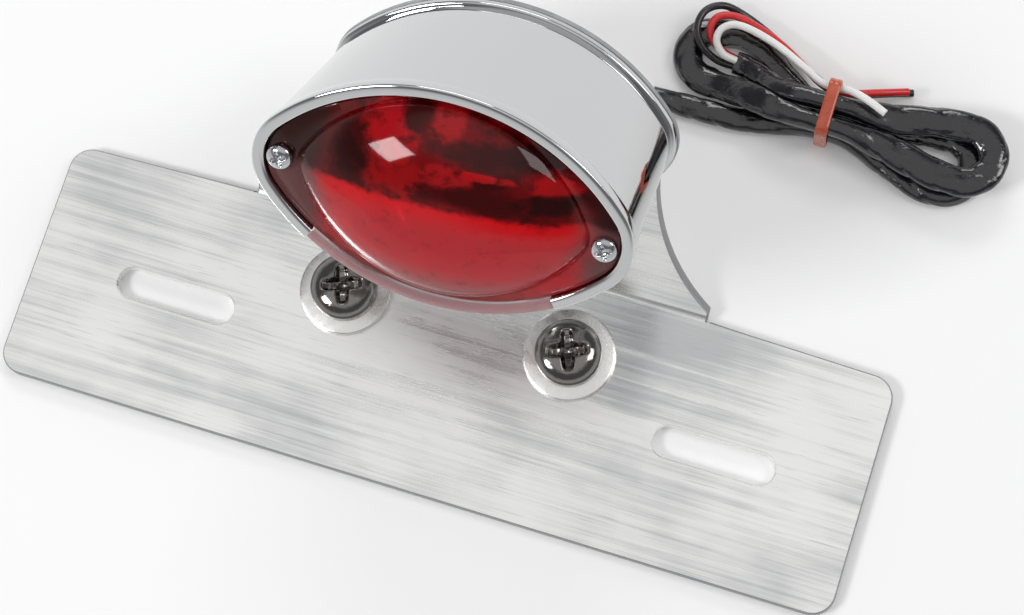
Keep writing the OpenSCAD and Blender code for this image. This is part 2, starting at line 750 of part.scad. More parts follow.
// Rubber grommet in the neck: a lip on each face and a waist in the hole
module wire_grommet() {
    lip_r = grommet_hole_r + grommet_lip;
    back = sheet_t + grommet_lip_t;
    color([0.12, 0.12, 0.12]) on_lamp() difference() {
        union() {
            translate([0, 0, -back]) cylinder(r = lip_r, h = grommet_lip_t - slip / 2,
                                              $fn = round_fn);
            translate([0, 0, -sheet_t - slip]) cylinder(r = grommet_hole_r - slip / 2,
                                                        h = sheet_t + 2 * slip, $fn = round_fn);
            translate([0, 0, slip / 2]) cylinder(r = lip_r, h = grommet_lip_t - slip,
                                                 $fn = round_fn);
        }
        translate([0, 0, -back - 1])
            cylinder(r = grommet_bore / 2, h = back + grommet_lip_t + 2, $fn = round_fn);
    }
}

// Point on the lamp's axis at height z over the neck, in the row's own axes
function axis_point(z) =
    [0, bend_line_up + lamp_up * cos(bend_angle) - z * sin(bend_angle),
     sheet_t + lamp_up * sin(bend_angle) + z * cos(bend_angle)];

// Centre line of the three wires, from inside the socket to the sleeve
bundle_line = concat([axis_point(disc_z - 1.2), axis_point(0), axis_point(-5), axis_point(-9)],
                     bundle_route);

// One wire of the bundle: its centre line runs beside the bundle's at angle turn
function strand(turn) = [for (i = [0 : len(bundle_line) - 1])
    let (a = bundle_line[max(0, i - 1)], b = bundle_line[min(len(bundle_line) - 1, i + 1)],
         t = (b - a) / norm(b - a),
         level = cross(t, [0, 0, 1]), side = level / norm(level), up = cross(side, t))
    bundle_line[i] + bundle_r * (cos(turn) * side + sin(turn) * up)];

module wire(turn, end_route) {
    tube(strand(turn), wire_r, wire_sides);
    tube(end_route, wire_r, wire_sides);
}

// Wire to the brake filament
module red_wire() {
    color([0.8, 0.08, 0.08]) wire(90, red_end);
}

// Wire to the tail filament
module white_wire() {
    color([0.92, 0.92, 0.9]) wire(210, white_end);
}

// Earth wire
module black_wire() {
    color([0.08, 0.08, 0.08]) wire(330, black_end);
}

// Run k of the hank at distance u from the tie: across, and height over the surface
function run_across(k, u) =
    let (s = u > 0 ? right_spread[k] : left_spread[k])
    blend(waist_v[k] * hank_step, u > 0 ? right_v[k] : left_v[k],
          smooth(s[0], s[1], abs(u)));
function run_height(k, u) =
    let (s = u > 0 ? right_climb[k] : left_climb[k])
    sleeve_r + blend(tie_t + 0.15 + waist_w[k] * hank_step,
                     u > 0 ? right_w[k] * hank_step : 0, smooth(s[0], s[1], abs(u)));
function run_point(k, u) =
    [hank_x + u, hank_y + run_across(k, u), run_height(k, u)];

// Half turn from run k to the next, at the right end for even k and at the left for odd k
function fold_points(k, n) =
    let (side = k % 2 == 0 ? 1 : -1,
         u = side > 0 ? right_u[k] : left_u[k],
         a = run_across(k, u), b = run_across(k + 1, u), r = abs(b - a) / 2)
    [for (i = [1 : n - 1]) let (t = 180 * i / n)
        [hank_x + u + side * r * sin(t), hank_y + (a + b) / 2 - (b - a) / 2 * cos(t),
         run_height(k, u)]];

// Centre line of the whole sleeve, with n points to a run and m to a fold
function sleeve_line(n, m) = [for (k = [0 : last_run])
    let (from = k % 2 == 0 ? left_u[k] : right_u[k], to = k % 2 == 0 ? right_u[k] : left_u[k])
    each concat([for (i = [0 : n]) run_point(k, blend(from, to, i / n))],
                k < last_run ? fold_points(k, m) : [])];

// Points along a line, with q to each of its stretches
function finer(p, q) = concat([for (i = [0 : len(p) - 2], j = [0 : q - 1])
    blend(p[i], p[i + 1], j / q)], [p[len(p) - 1]]);

// Length of a line up to each of its points
function reach(p) = [for (i = 0, sum = 0; i < len(p); sum = sum + (i < len(p) - 1
    ? norm(p[i + 1] - p[i]) : 0), i = i + 1) sum];

// Least distance between points of a line that lie more than skip apart along it
function least_distance(p, skip) = let (s = reach(p), n = len(p))
    min([for (i = [0 : n - 1], j = [i + 1 : n - 1]) if (s[j] - s[i] > skip) norm(p[i] - p[j])]);

// Black sleeve over the wires, folded into a flat hank and tied
module wiring_sleeve() {
    line = sleeve_line(run_rings, fold_rings);
    color([0.07, 0.07, 0.08]) tube(line, sleeve_r, tube_sides);
    fine_line = finer(line, 5);
    length = reach(fine_line);
    echo(sleeve_length = length[len(length) - 1],
         least_gap_to_itself = least_distance(fine_line, 3 * sleeve_d) - sleeve_d);
}

// Band round the waist of the hank and the wires beside it
module hank_tie() {
    low_v = -hank_step / 2 - sleeve_r - 0.2;
    high_v = hank_step / 2 + sleeve_r + wire_d + 0.4;
    high_w = tie_t + 0.15 + sleeve_d + hank_step + 0.2;
    color([0.85, 0.3, 0.15]) translate([hank_x - tie_w / 2, hank_y, 0]) rotate([90, 0, 90])
        linear_extrude(height = tie_w) difference() {
            round_box(low_v - tie_t, high_v + tie_t, 0, high_w + tie_t, sleeve_r);
            round_box(low_v, high_v, tie_t, high_w, sleeve_r - tie_t);
        }
}

// Rectangle from x0 to x1 and y0 to y1 with corners of radius r
module round_box(x0, x1, y0, y1, r) {
    for (x = [x0 + r, x1 - r], y = [y0 + r, y1 - r])
        translate([x, y]) circle(r = r, $fn = small_fn);
    translate([x0 + r, y0]) square([x1 - x0 - 2 * r, y1 - y0]);
    translate([x0, y0 + r]) square([x1 - x0, y1 - y0 - 2 * r]);
}

mounting_bracket();
fender_screws();
fender_washers();
base_gasket();
lamp_housing();
lens_gasket();
red_lens();
plate_window();
lens_screws();
reflector();
bulb_glass();
bulb_filaments();
bulb_base();
bulb_contacts();
socket_shell();
contact_disc();
contact_spring();
contact_pins();
mounting_studs();
stud_washers();
stud_lock_washers();
stud_nuts();
wire_grommet();
red_wire();
white_wire();
black_wire();
wiring_sleeve();
hank_tie();
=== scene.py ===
"""Looks of the motorcycle tail light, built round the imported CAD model.

Sizes are millimetres until a mesh is made, and metres in Blender. The row's frame is the CAD's:
the plate lies in the XY plane, +Y runs up the plate and +Z out of its face.
"""

import logging
import math
from dataclasses import dataclass, field
from enum import Enum
from typing import Dict, List, Mapping, Optional, Sequence, Tuple, Union

import bmesh
import bpy
import numpy as np
from mathutils import Matrix, Vector
from mathutils.geometry import tessellate_polygon


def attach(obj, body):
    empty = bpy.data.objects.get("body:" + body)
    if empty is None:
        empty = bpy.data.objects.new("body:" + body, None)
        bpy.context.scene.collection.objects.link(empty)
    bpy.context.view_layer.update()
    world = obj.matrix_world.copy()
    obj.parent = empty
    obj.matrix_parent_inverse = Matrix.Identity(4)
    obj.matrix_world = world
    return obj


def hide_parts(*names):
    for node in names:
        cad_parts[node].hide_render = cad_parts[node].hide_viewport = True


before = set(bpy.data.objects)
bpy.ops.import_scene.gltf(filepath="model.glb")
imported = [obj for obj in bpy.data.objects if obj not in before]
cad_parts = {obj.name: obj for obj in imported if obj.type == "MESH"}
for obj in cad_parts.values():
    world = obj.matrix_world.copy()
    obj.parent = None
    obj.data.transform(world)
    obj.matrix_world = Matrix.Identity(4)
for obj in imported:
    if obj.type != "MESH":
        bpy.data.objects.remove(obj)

LOG = logging.getLogger("tail_light")
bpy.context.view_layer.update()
MM = 0.001
BODY = "root"


# ---------------------------------------------------------------------------------------------
# Materials
# ---------------------------------------------------------------------------------------------


class Signal:
    """An output of a node, so that sums on it can be written as plain expressions."""

    def __init__(self, board: "Board", socket: bpy.types.NodeSocket) -> None:
        """Keeps the socket and the board that it is on."""
        self.board = board
        self.socket = socket

    def __add__(self, other: "Amount") -> "Signal":
        """Sum."""
        return self.board.sum("ADD", self, other)

    __radd__ = __add__

    def __sub__(self, other: "Amount") -> "Signal":
        """Difference."""
        return self.board.sum("SUBTRACT", self, other)

    def __rsub__(self, other: "Amount") -> "Signal":
        """Difference, the other way round."""
        return self.board.sum("SUBTRACT", other, self)

    def __mul__(self, other: "Amount") -> "Signal":
        """Product."""
        return self.board.sum("MULTIPLY", self, other)

    __rmul__ = __mul__

    def largest(self, other: "Amount") -> "Signal":
        """The larger of the two."""
        return self.board.sum("MAXIMUM", self, other)

    def ramp(self, low: float, high: float, start: float = 0.0, end: float = 1.0) -> "Signal":
        """Runs smoothly from start to end while the signal runs from low to high.

        Args:
            low: signal at which the result is start.
            high: signal at which the result is end.
            start: first result.
            end: last result.

        Returns:
            The clamped, smoothed result.
        """
        node = self.board.node(
            "ShaderNodeMapRange",
            {"interpolation_type": "SMOOTHSTEP"},
            {0: self, 1: low, 2: high, 3: start, 4: end},
        )
        return Signal(self.board, node.outputs[0])


Amount = Union[float, Signal]
Colour = Tuple[float, float, float]


class Board:
    """The node tree of one material or of the world."""

    def __init__(self, tree: bpy.types.NodeTree) -> None:
        """Empties the tree."""
        self.tree = tree
        tree.nodes.clear()

    def node(
        self,
        kind: str,
        settings: Optional[Mapping[str, object]] = None,
        inputs: Optional[Mapping[Union[str, int], object]] = None,
    ) -> bpy.types.Node:
        """Adds a node.

        Args:
            kind: Blender's name for the type of node.
            settings: attributes of the node, such as a Math node's operation.
            inputs: a value or a Signal for each socket, by name or number.

        Returns:
            The node.
        """
        node = self.tree.nodes.new(kind)
        for name, value in (settings or {}).items():
            setattr(node, name, value)
        for name, value in (inputs or {}).items():
            if isinstance(value, Signal):
                self.tree.links.new(value.socket, node.inputs[name])
            else:
                node.inputs[name].default_value = value
        return node

    def out(self, kind: str, settings=None, inputs=None, output: Union[str, int] = 0) -> Signal:
        """A new node's output, by name or number, as a Signal."""
        return Signal(self, self.node(kind, settings, inputs).outputs[output])

    def sum(self, operation: str, *values: Amount) -> Signal:
        """A Math node on one or two values."""
        return self.out("ShaderNodeMath", {"operation": operation}, dict(enumerate(values)))

    def place(self) -> Signal:
        """The point on the surface in the object's own axes, in metres."""
        return self.out("ShaderNodeTexCoord", output="Object")

    def stretched(self, scale: Sequence[float], turn: Sequence[float] = (0, 0, 0)) -> Signal:
        """The point, turned and then stretched by scale along each axis.

        Args:
            scale: stretch along x, y and z.
            turn: angles about x, y and z.

        Returns:
            The new point.
        """
        turned = self.out(
            "ShaderNodeMapping", {}, {"Vector": self.place(), "Rotation": tuple(turn)}
        )
        return self.out("ShaderNodeMapping", {}, {"Vector": turned, "Scale": tuple(scale)})

    def noise(
        self,
        size: float,
        detail: float = 3.0,
        rough: float = 0.5,
        stretch: Sequence[float] = (1, 1, 1),
        turn: Sequence[float] = (0, 0, 0),
        offset: float = 0.0,
    ) -> Signal:
        """Cloudy noise between 0 and 1.

        Args:
            size: how large a blotch is, in millimetres.
            detail: octaves of finer blotches.
            rough: how strong the finer ones are.
            stretch: by how much a blotch is longer along each axis.
            turn: turn of the axes, in radians.
            offset: another value gives another pattern.

        Returns:
            The noise.
        """
        scale = [1.0 / (MM * size * s) for s in stretch]
        vector = self.stretched(scale, turn)
        return self.out(
            "ShaderNodeTexNoise",
            {"noise_dimensions": "4D"},
            {"Vector": vector, "W": offset, "Scale": 1.0, "Detail": detail, "Roughness": rough},
        )

    def blend(self, share: Amount, first: object, second: object) -> Signal:
        """A colour between first and second at the given share.

        Args:
            share: 0 for the first colour and 1 for the second.
            first: one colour.
            second: the other colour.

        Returns:
            The mixed colour.
        """
        return self.out(
            "ShaderNodeMix", {"data_type": "RGBA"}, {0: share, 6: first, 7: second}, output=2
        )

    def bump(self, height: Signal, depth: float, strength: float = 1.0) -> Signal:
        """A normal bent by a height of at most depth millimetres.

        Args:
            height: 0 to 1.
            depth: millimetres between the two.
            strength: how far the normal is bent.

        Returns:
            The normal.
        """
        return self.out(
            "ShaderNodeBump",
            {},
            {"Height": height, "Distance": depth * MM, "Strength": strength},
        )

    def shader(self, **sockets: object) -> bpy.types.Node:
        """A Principled shader with the sockets named, words joined by underscores."""
        inputs = {name.replace("_", " "): value for name, value in sockets.items()}
        return self.node("ShaderNodeBsdfPrincipled", {}, inputs)

    def finish(self, shader: bpy.types.Node) -> None:
        """Links the shader to the output.

        Args:
            shader: the node that makes the surface or the world.
        """
        kind = "ShaderNodeOutputMaterial"
        if isinstance(self.tree.id_data, bpy.types.World):
            kind = "ShaderNodeOutputWorld"
        self.node(kind, {}, {"Surface": Signal(self, shader.outputs[0])})


def rgba(colour: Colour, share: float = 1.0) -> Tuple[float, float, float, float]:
    """A colour, scaled by share, with full alpha."""
    return (colour[0] * share, colour[1] * share, colour[2] * share, 1.0)


@dataclass(frozen=True)
class Finish:
    """A named finish. Each kind below says how it is laid on its board."""

    name: str
    slot: str

    def material(self) -> bpy.types.Material:
        """The material, made the first time that it is asked for.

        Returns:
            Blender's material.
        """
        title = f"{self.name}_finish"
        found = bpy.data.materials.get(title)
        if found:
            return found
        material = bpy.data.materials.new(title)
        material.use_nodes = True
        board = Board(material.node_tree)
        board.finish(self.lay(board))
        return material

    def lay(self, board: Board) -> bpy.types.Node:
        """The shader. Each kind of finish gives its own."""
        raise NotImplementedError

    def dress(self, node: str) -> None:
        """Puts the finish on a CAD node that stays in view.

        Args:
            node: the CAD node's name.
        """
        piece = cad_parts[node]
        for place in piece.material_slots:
            place.material = self.material()
        LOG.info("dressed %s in %s", node, self.name)


@dataclass(frozen=True)
class BrushedSheet(Finish):
    """Aluminium sheet, brushed along its length, with streaks and fine scratches."""

    colour: Colour = (0.62, 0.63, 0.635)
    light: Colour = (0.97, 0.97, 0.955)

    def lay(self, board: Board) -> bpy.types.Node:
        """Long streaks of several widths change colour and roughness; fine ones the height.

        Args:
            board: the material's node tree.

        Returns:
            The shader node.
        """
        broad = board.noise(2.6, 3.0, 0.55, (34, 1, 1))
        thin = board.noise(0.55, 2.0, 0.6, (60, 1, 1), offset=3.0)
        cloud = board.noise(26.0, 3.0, 0.5, (1.4, 1, 1), offset=7.0)
        scratches = board.noise(0.22, 1.0, 0.5, (45, 1, 1), offset=11.0).ramp(0.66, 0.76)
        tone = broad * 0.28 + thin * 0.22 + cloud * 0.5
        silver = board.blend(tone.ramp(0.36, 0.56), rgba(self.colour), rgba(self.light))
        marked = board.blend(scratches * 0.5, silver, rgba(self.colour, 0.6))
        rough = 0.2 + tone.ramp(0.3, 0.7) * 0.16
        height = broad * 0.35 + thin * 0.65
        return board.shader(
            Base_Color=marked, Metallic=1.0, Roughness=rough,
            Normal=board.bump(height, 0.03, 0.5),
        )


@dataclass(frozen=True)
class Plated(Finish):
    """Plated or polished metal: a clear tone, faint haze, pits and fine wear marks."""

    colour: Colour = (0.8, 0.8, 0.8)
    rough: float = 0.06
    haze: float = 0.05
    wave: float = 0.004
    wave_size: float = 9.0
    dull: Colour = (0.55, 0.54, 0.52)
    dull_share: float = 0.12

    def lay(self, board: Board) -> bpy.types.Node:
        """Haze changes the roughness, small spots dull the colour, and a slow wave the height.

        Args:
            board: the material's node tree.

        Returns:
            The shader node.
        """
        cloud = board.noise(self.wave_size, 2.0, 0.5)
        grain = board.noise(0.35, 2.0, 0.6, offset=4.0)
        spots = grain.ramp(0.62, 0.78)
        tone = board.blend(spots * self.dull_share, rgba(self.colour), rgba(self.dull))
        rough = self.rough + cloud.ramp(0.35, 0.75) * self.haze + spots * 0.05
        height = cloud * self.wave + grain * (0.1 * self.wave)
        return board.shader(
            Base_Color=tone, Metallic=1.0, Roughness=rough, Normal=board.bump(height, 1.0),
        )


@dataclass(frozen=True)
class PaintedBlot:
    """A soft oval on the lens, a painted reflection where light and painted shade where dark: its
    middle, x across and up the lens, and its half width and half height, in millimetres."""

    colour: Colour
    x: float
    up: float
    wide: float
    high: float

    def over(self, below: Signal, x: Signal, up: Signal, ragged: Signal) -> Signal:
        """The colour below, covered where the oval's distance, moved by ragged, is under 1.

        Args:
            below: the colour under it.
            x: millimetres across the lens.
            up: millimetres up the lens.
            ragged: what makes the border uneven.

        Returns:
            The new colour.
        """
        across, rise = (x - self.x) * (1 / self.wide), (up - self.up) * (1 / self.high)
        away = across * across + rise * rise + ragged
        return below.board.blend(away.ramp(0.3, 1.6, 1.0, 0.0), below, rgba(self.colour))


@dataclass(frozen=True)
class ClearRed(Finish):
    """Deep red see-through plastic, moulded glossy, with painted light in its colour: a painted
    dark reflection above a line that runs across the lens and a painted bright reflection below
    it, light ovals of painted reflection and dark ovals of painted shade where the bowl and the
    bulb would show through, and painted shade at the tips."""

    # Every colour here is the lens's red with painted light in it: the upper tones are painted
    # dark reflection and painted shade, the lower ones painted bright reflection with a painted
    # highlight band, and the tip tones painted shade and painted reflection.
    above: Colour = (0.24, 0.002, 0.004)
    below: Colour = (0.62, 0.022, 0.032)
    band: Colour = (0.84, 0.006, 0.012)
    painted_deep_shade: Colour = (0.06, 0.001, 0.001)
    foot: Colour = (0.36, 0.1, 0.1)
    painted_tip_shade: Colour = (0.045, 0.014, 0.012)
    painted_tip_reflection: Colour = (0.2, 0.075, 0.075)
    tip_x: Tuple[float, float] = (25.0, 33.0)
    painted_edge_up: float = 3.2
    axis_up: float = 56.3
    painted_blots: Tuple[PaintedBlot, ...] = (
        PaintedBlot((0.55, 0.006, 0.012), -12, 16, 6, 5), PaintedBlot((0.42, 0.004, 0.006), -10, 8, 6, 6),
        PaintedBlot((0.5, 0.01, 0.014), -1, 20, 4, 3), PaintedBlot((0.5, 0.01, 0.014), 2, 10.5, 5, 2.6),
        PaintedBlot((0.55, 0.006, 0.01), 24, 11.8, 5, 1.8), PaintedBlot((0.6, 0.006, 0.01), 9, 12, 6, 0.8),
        PaintedBlot((0.035, 0.002, 0.002), -20, 8.5, 5, 4.5), PaintedBlot((0.06, 0.001, 0.001), -7, 20, 3.5, 3),
        PaintedBlot((0.055, 0.001, 0.001), 10, 16, 9, 2.6), PaintedBlot((0.07, 0.001, 0.001), 10, 7, 10, 2.6),
        PaintedBlot((0.03, 0.001, 0.001), 23, 8, 6, 2.0), PaintedBlot((0.03, 0.001, 0.001), 20, 17, 7, 2.4))

    def lay(self, board: Board) -> bpy.types.Node:
        """The height up the lens is (y + z) / sqrt(2), less that of the lamp's axis; the edge
        between the painted dark and bright reflections is a shallow arc that rises to the right.

        Args:
            board: the material's node tree.

        Returns:
            The shader node.
        """
        parts = board.node("ShaderNodeSeparateXYZ", {}, {"Vector": board.place()})
        x, y, z = (Signal(board, parts.outputs[k]) * 1000.0 for k in range(3))
        up = (y + z) * 0.7071 - self.axis_up
        patches = board.noise(7.0, 3.0, 0.6, (1.7, 1, 1), offset=6.0)
        small = board.noise(2.6, 3.0, 0.62, (1.4, 1, 1), offset=8.0)
        grain = board.noise(1.2, 2.0, 0.5, (6, 1, 1), offset=2.0)
        # The edge between the painted dark reflection above and the painted bright reflection
        # below.
        over = up - self.painted_edge_up - x * 0.05 + x * x * 0.0004 + (small - 0.5) * 2.6
        # Above the edge: painted dark reflection, blotched with painted shade, and the ovals of
        # painted reflection and painted shade.
        upper = board.blend(patches.ramp(0.34, 0.6), rgba(self.painted_deep_shade), rgba(self.above))
        ragged = (small - 0.5) * 3.4
        for blot in self.painted_blots:
            upper = blot.over(upper, x, up, ragged)
        upper = board.blend(small.ramp(0.5, 0.7) * 0.5, upper, rgba(self.painted_deep_shade))
        # Below the edge: painted bright reflection, a painted highlight band just under the edge,
        # a pinkish painted reflection at the foot, and blotches of painted shade.
        lower = board.blend(over.ramp(-6.5, -0.5), rgba(self.below), rgba(self.band))
        lower = board.blend(up.ramp(-20.0, -10.5, 0.8, 0.0), lower, rgba(self.foot))
        lower = board.blend(small.ramp(0.52, 0.68) * 0.3, lower, rgba(self.painted_deep_shade))
        tone = board.blend(over.ramp(-0.8, 0.8), lower, upper)
        # At the tips: painted shade above the edge and a pale painted reflection below it.
        away = board.sum("ABSOLUTE", x - 3.0) + (patches - 0.5) * 10.0
        tips = board.blend(over.ramp(-2.0, 1.0), rgba(self.painted_tip_reflection), rgba(self.painted_tip_shade))
        tone = board.blend(away.ramp(*self.tip_x), tone, tips)
        rough = 0.1 + grain * 0.08
        return board.shader(
            Base_Color=tone, Metallic=0.0, Roughness=rough, IOR=1.16,
            Specular_IOR_Level=0.5, Specular_Tint=(1.0, 0.12, 0.14, 1.0), Coat_Weight=0.5,
            Coat_Roughness=0.05, Transmission_Weight=0.45,
            Normal=board.bump(patches * 0.1 + grain * 0.02, 0.3),
        )


@dataclass(frozen=True)
class ClearPlastic(Finish):
    """Colourless see-through plastic or glass; above a height its colour turns to a painted
    reflection colour.
    """

    colour: Colour = (0.95, 0.94, 0.94)
    ior: float = 1.49
    painted_reflection: Colour = (0.95, 0.94, 0.94)
    painted_reflection_from: float = 1.0
    clear: float = 0.95

    def lay(self, board: Board) -> bpy.types.Node:
        """A faint haze and flow lines, and a painted reflection above the given height.

        Args:
            board: the material's node tree.

        Returns:
            The shader node.
        """
        flow = board.noise(4.0, 2.0, 0.5, (3, 1, 1))
        tone = board.blend(flow.ramp(0.3, 0.7), rgba(self.colour), rgba(self.colour, 0.94))
        parts = board.node("ShaderNodeSeparateXYZ", {}, {"Vector": board.place()})
        up = Signal(board, parts.outputs[2]) - Signal(board, parts.outputs[1])
        # Above the height the colour is the painted reflection.
        tone = board.blend(up.ramp(self.painted_reflection_from, self.painted_reflection_from + 0.001), tone,
                           rgba(self.painted_reflection))
        rough = 0.03 + flow * 0.06
        return board.shader(
            Base_Color=tone, Metallic=0.0, Roughness=rough, IOR=self.ior,
            Transmission_Weight=self.clear, Normal=board.bump(flow, 0.04),
        )


@dataclass(frozen=True)
class Moulded(Finish):
    """Opaque plastic or rubber: a grain in the height and blotches in colour and gloss."""

    colour: Colour = (0.03, 0.03, 0.03)
    light: Colour = (0.06, 0.06, 0.06)
    rough: float = 0.5
    grain: float = 0.5
    depth: float = 0.02
    coat: float = 0.0

    def lay(self, board: Board) -> bpy.types.Node:
        """Blotches of the lighter colour, and a grain of the size named.

        Args:
            board: the material's node tree.

        Returns:
            The shader node.
        """
        cloud = board.noise(6.0, 3.0, 0.55)
        grain = board.noise(self.grain, 3.0, 0.6, offset=5.0)
        tone = board.blend(cloud.ramp(0.35, 0.7), rgba(self.colour), rgba(self.light))
        rough = self.rough + grain.ramp(0.3, 0.7) * 0.12
        return board.shader(
            Base_Color=tone, Metallic=0.0, Roughness=rough, IOR=1.5,
            Coat_Weight=self.coat, Coat_Roughness=0.08,
            Normal=board.bump(cloud * 0.4 + grain * 0.6, self.depth),
        )


@dataclass(frozen=True)
class Vinyl(Finish):
    """Soft glossy vinyl of a sleeve: creases and slack folds that break up the highlights."""

    colour: Colour = (0.004, 0.004, 0.006)
    crease: float = 0.3
    crease_size: float = 3.2

    def lay(self, board: Board) -> bpy.types.Node:
        """Creases are folded noise, stretched by the run's direction across the hank.

        Args:
            board: the material's node tree.

        Returns:
            The shader node.
        """
        fold = board.noise(self.crease_size, 3.0, 0.6, (2.2, 1, 1))
        folded = board.sum("ABSOLUTE", fold - 0.5) * 2.0
        dust = board.noise(0.4, 2.0, 0.5, offset=9.0)
        tone = board.blend(dust.ramp(0.5, 0.8) * 0.35, rgba(self.colour),
                           rgba((0.05, 0.055, 0.065)))
        rough = 0.1 + fold * 0.12
        return board.shader(
            Base_Color=tone, Metallic=0.0, Roughness=rough, IOR=1.55, Coat_Weight=0.7,
            Coat_Roughness=0.06, Normal=board.bump(folded * 0.8 + dust * 0.06, self.crease),
        )


class Look(Enum):
    """Every finish on the lamp."""

    SHEET = BrushedSheet("brushed_sheet", "brushed_aluminium")
    # The sheet's outer edge faces: partly the duller sheared edge, partly painted shade along the
    # edge.
    SHADED_EDGE = Plated("sheared_and_shaded_edge", "brushed_aluminium", (0.36, 0.36, 0.37), 0.42, 0.12)
    CHROME = Plated("lamp_chrome", "chrome_shell", (0.6, 0.605, 0.61), 0.02, 0.02, 0.02, 14.0)
    RAW = Plated("raw_casting", "chrome_shell", (0.16, 0.155, 0.15), 0.45, 0.15, 0.05, 5.0)
    DARK = Plated("dark_chrome", "dark_chrome", (0.23, 0.215, 0.205), 0.07, 0.08, 0.09, 2.2)
    WASHER = Plated("bright_washer", "bright_washer", (0.81, 0.795, 0.775), 0.24, 0.12, 0.008, 2.0)
    SCREW = Plated("bright_screw", "bright_screw", (0.5, 0.51, 0.53), 0.1, 0.08, 0.006, 2.0)
    RUBBER = Moulded("black_rubber", "black_rubber", (0.02, 0.02, 0.021), (0.035, 0.035, 0.036))
    PAD = Moulded("grey_foam", "black_rubber", (0.3, 0.31, 0.32), (0.4, 0.41, 0.42), 0.7)
    LENS = ClearRed("red_lens", "red_lens_plastic")
    # The window's top edge carries a painted red reflection of the lens.
    WINDOW = ClearPlastic("clear_window", "clear_plastic", painted_reflection=(0.8, 0.42, 0.44),
                          painted_reflection_from=0.0553, clear=0.7)
    MIRROR = Plated("mirror_bowl", "mirror_bowl", (0.93, 0.93, 0.93), 0.05, 0.03, 0.01, 4.0)
    GLASS = ClearPlastic("bulb_glass", "bulb_glass", (0.98, 0.98, 0.98), 1.5)
    SUPPORT = Plated("support_wire", "support_wire", (0.66, 0.66, 0.68), 0.3, 0.1)
    BRASS = Plated("base_brass", "base_brass", (0.8, 0.62, 0.3), 0.22, 0.12)
    SOLDER = Plated("solder", "solder", (0.55, 0.56, 0.58), 0.4, 0.15, 0.02, 1.0)
    SOCKET = Plated("plated_socket", "plated_socket", (0.78, 0.74, 0.6), 0.28, 0.14)
    BROWN = Moulded("brown_insulator", "brown_insulator", (0.2, 0.09, 0.035), (0.3, 0.15, 0.06))
    ZINC = Plated("zinc_steel", "zinc_steel", (0.74, 0.76, 0.79), 0.26, 0.16, 0.006, 3.0)
    RED_WIRE = Moulded("red_insulation", "red_insulation", (0.62, 0.012, 0.02),
                       (0.72, 0.03, 0.03), 0.26, 1.0, 0.01, 0.3)
    WHITE_WIRE = Moulded("white_insulation", "white_insulation", (0.86, 0.86, 0.84),
                         (0.92, 0.92, 0.9), 0.3, 1.0, 0.01, 0.3)
    BLACK_WIRE = Moulded("black_insulation", "black_insulation", (0.01, 0.01, 0.012),
                         (0.02, 0.02, 0.024), 0.24, 1.0, 0.01, 0.3)
    SLEEVE = Vinyl("black_sleeve", "black_sleeve")
    TIE = Moulded("orange_tie", "orange_tie", (0.46, 0.06, 0.02), (0.6, 0.12, 0.05),
                  0.24, 0.8, 0.03, 0.6)


# ---------------------------------------------------------------------------------------------
# Shapes
# ---------------------------------------------------------------------------------------------


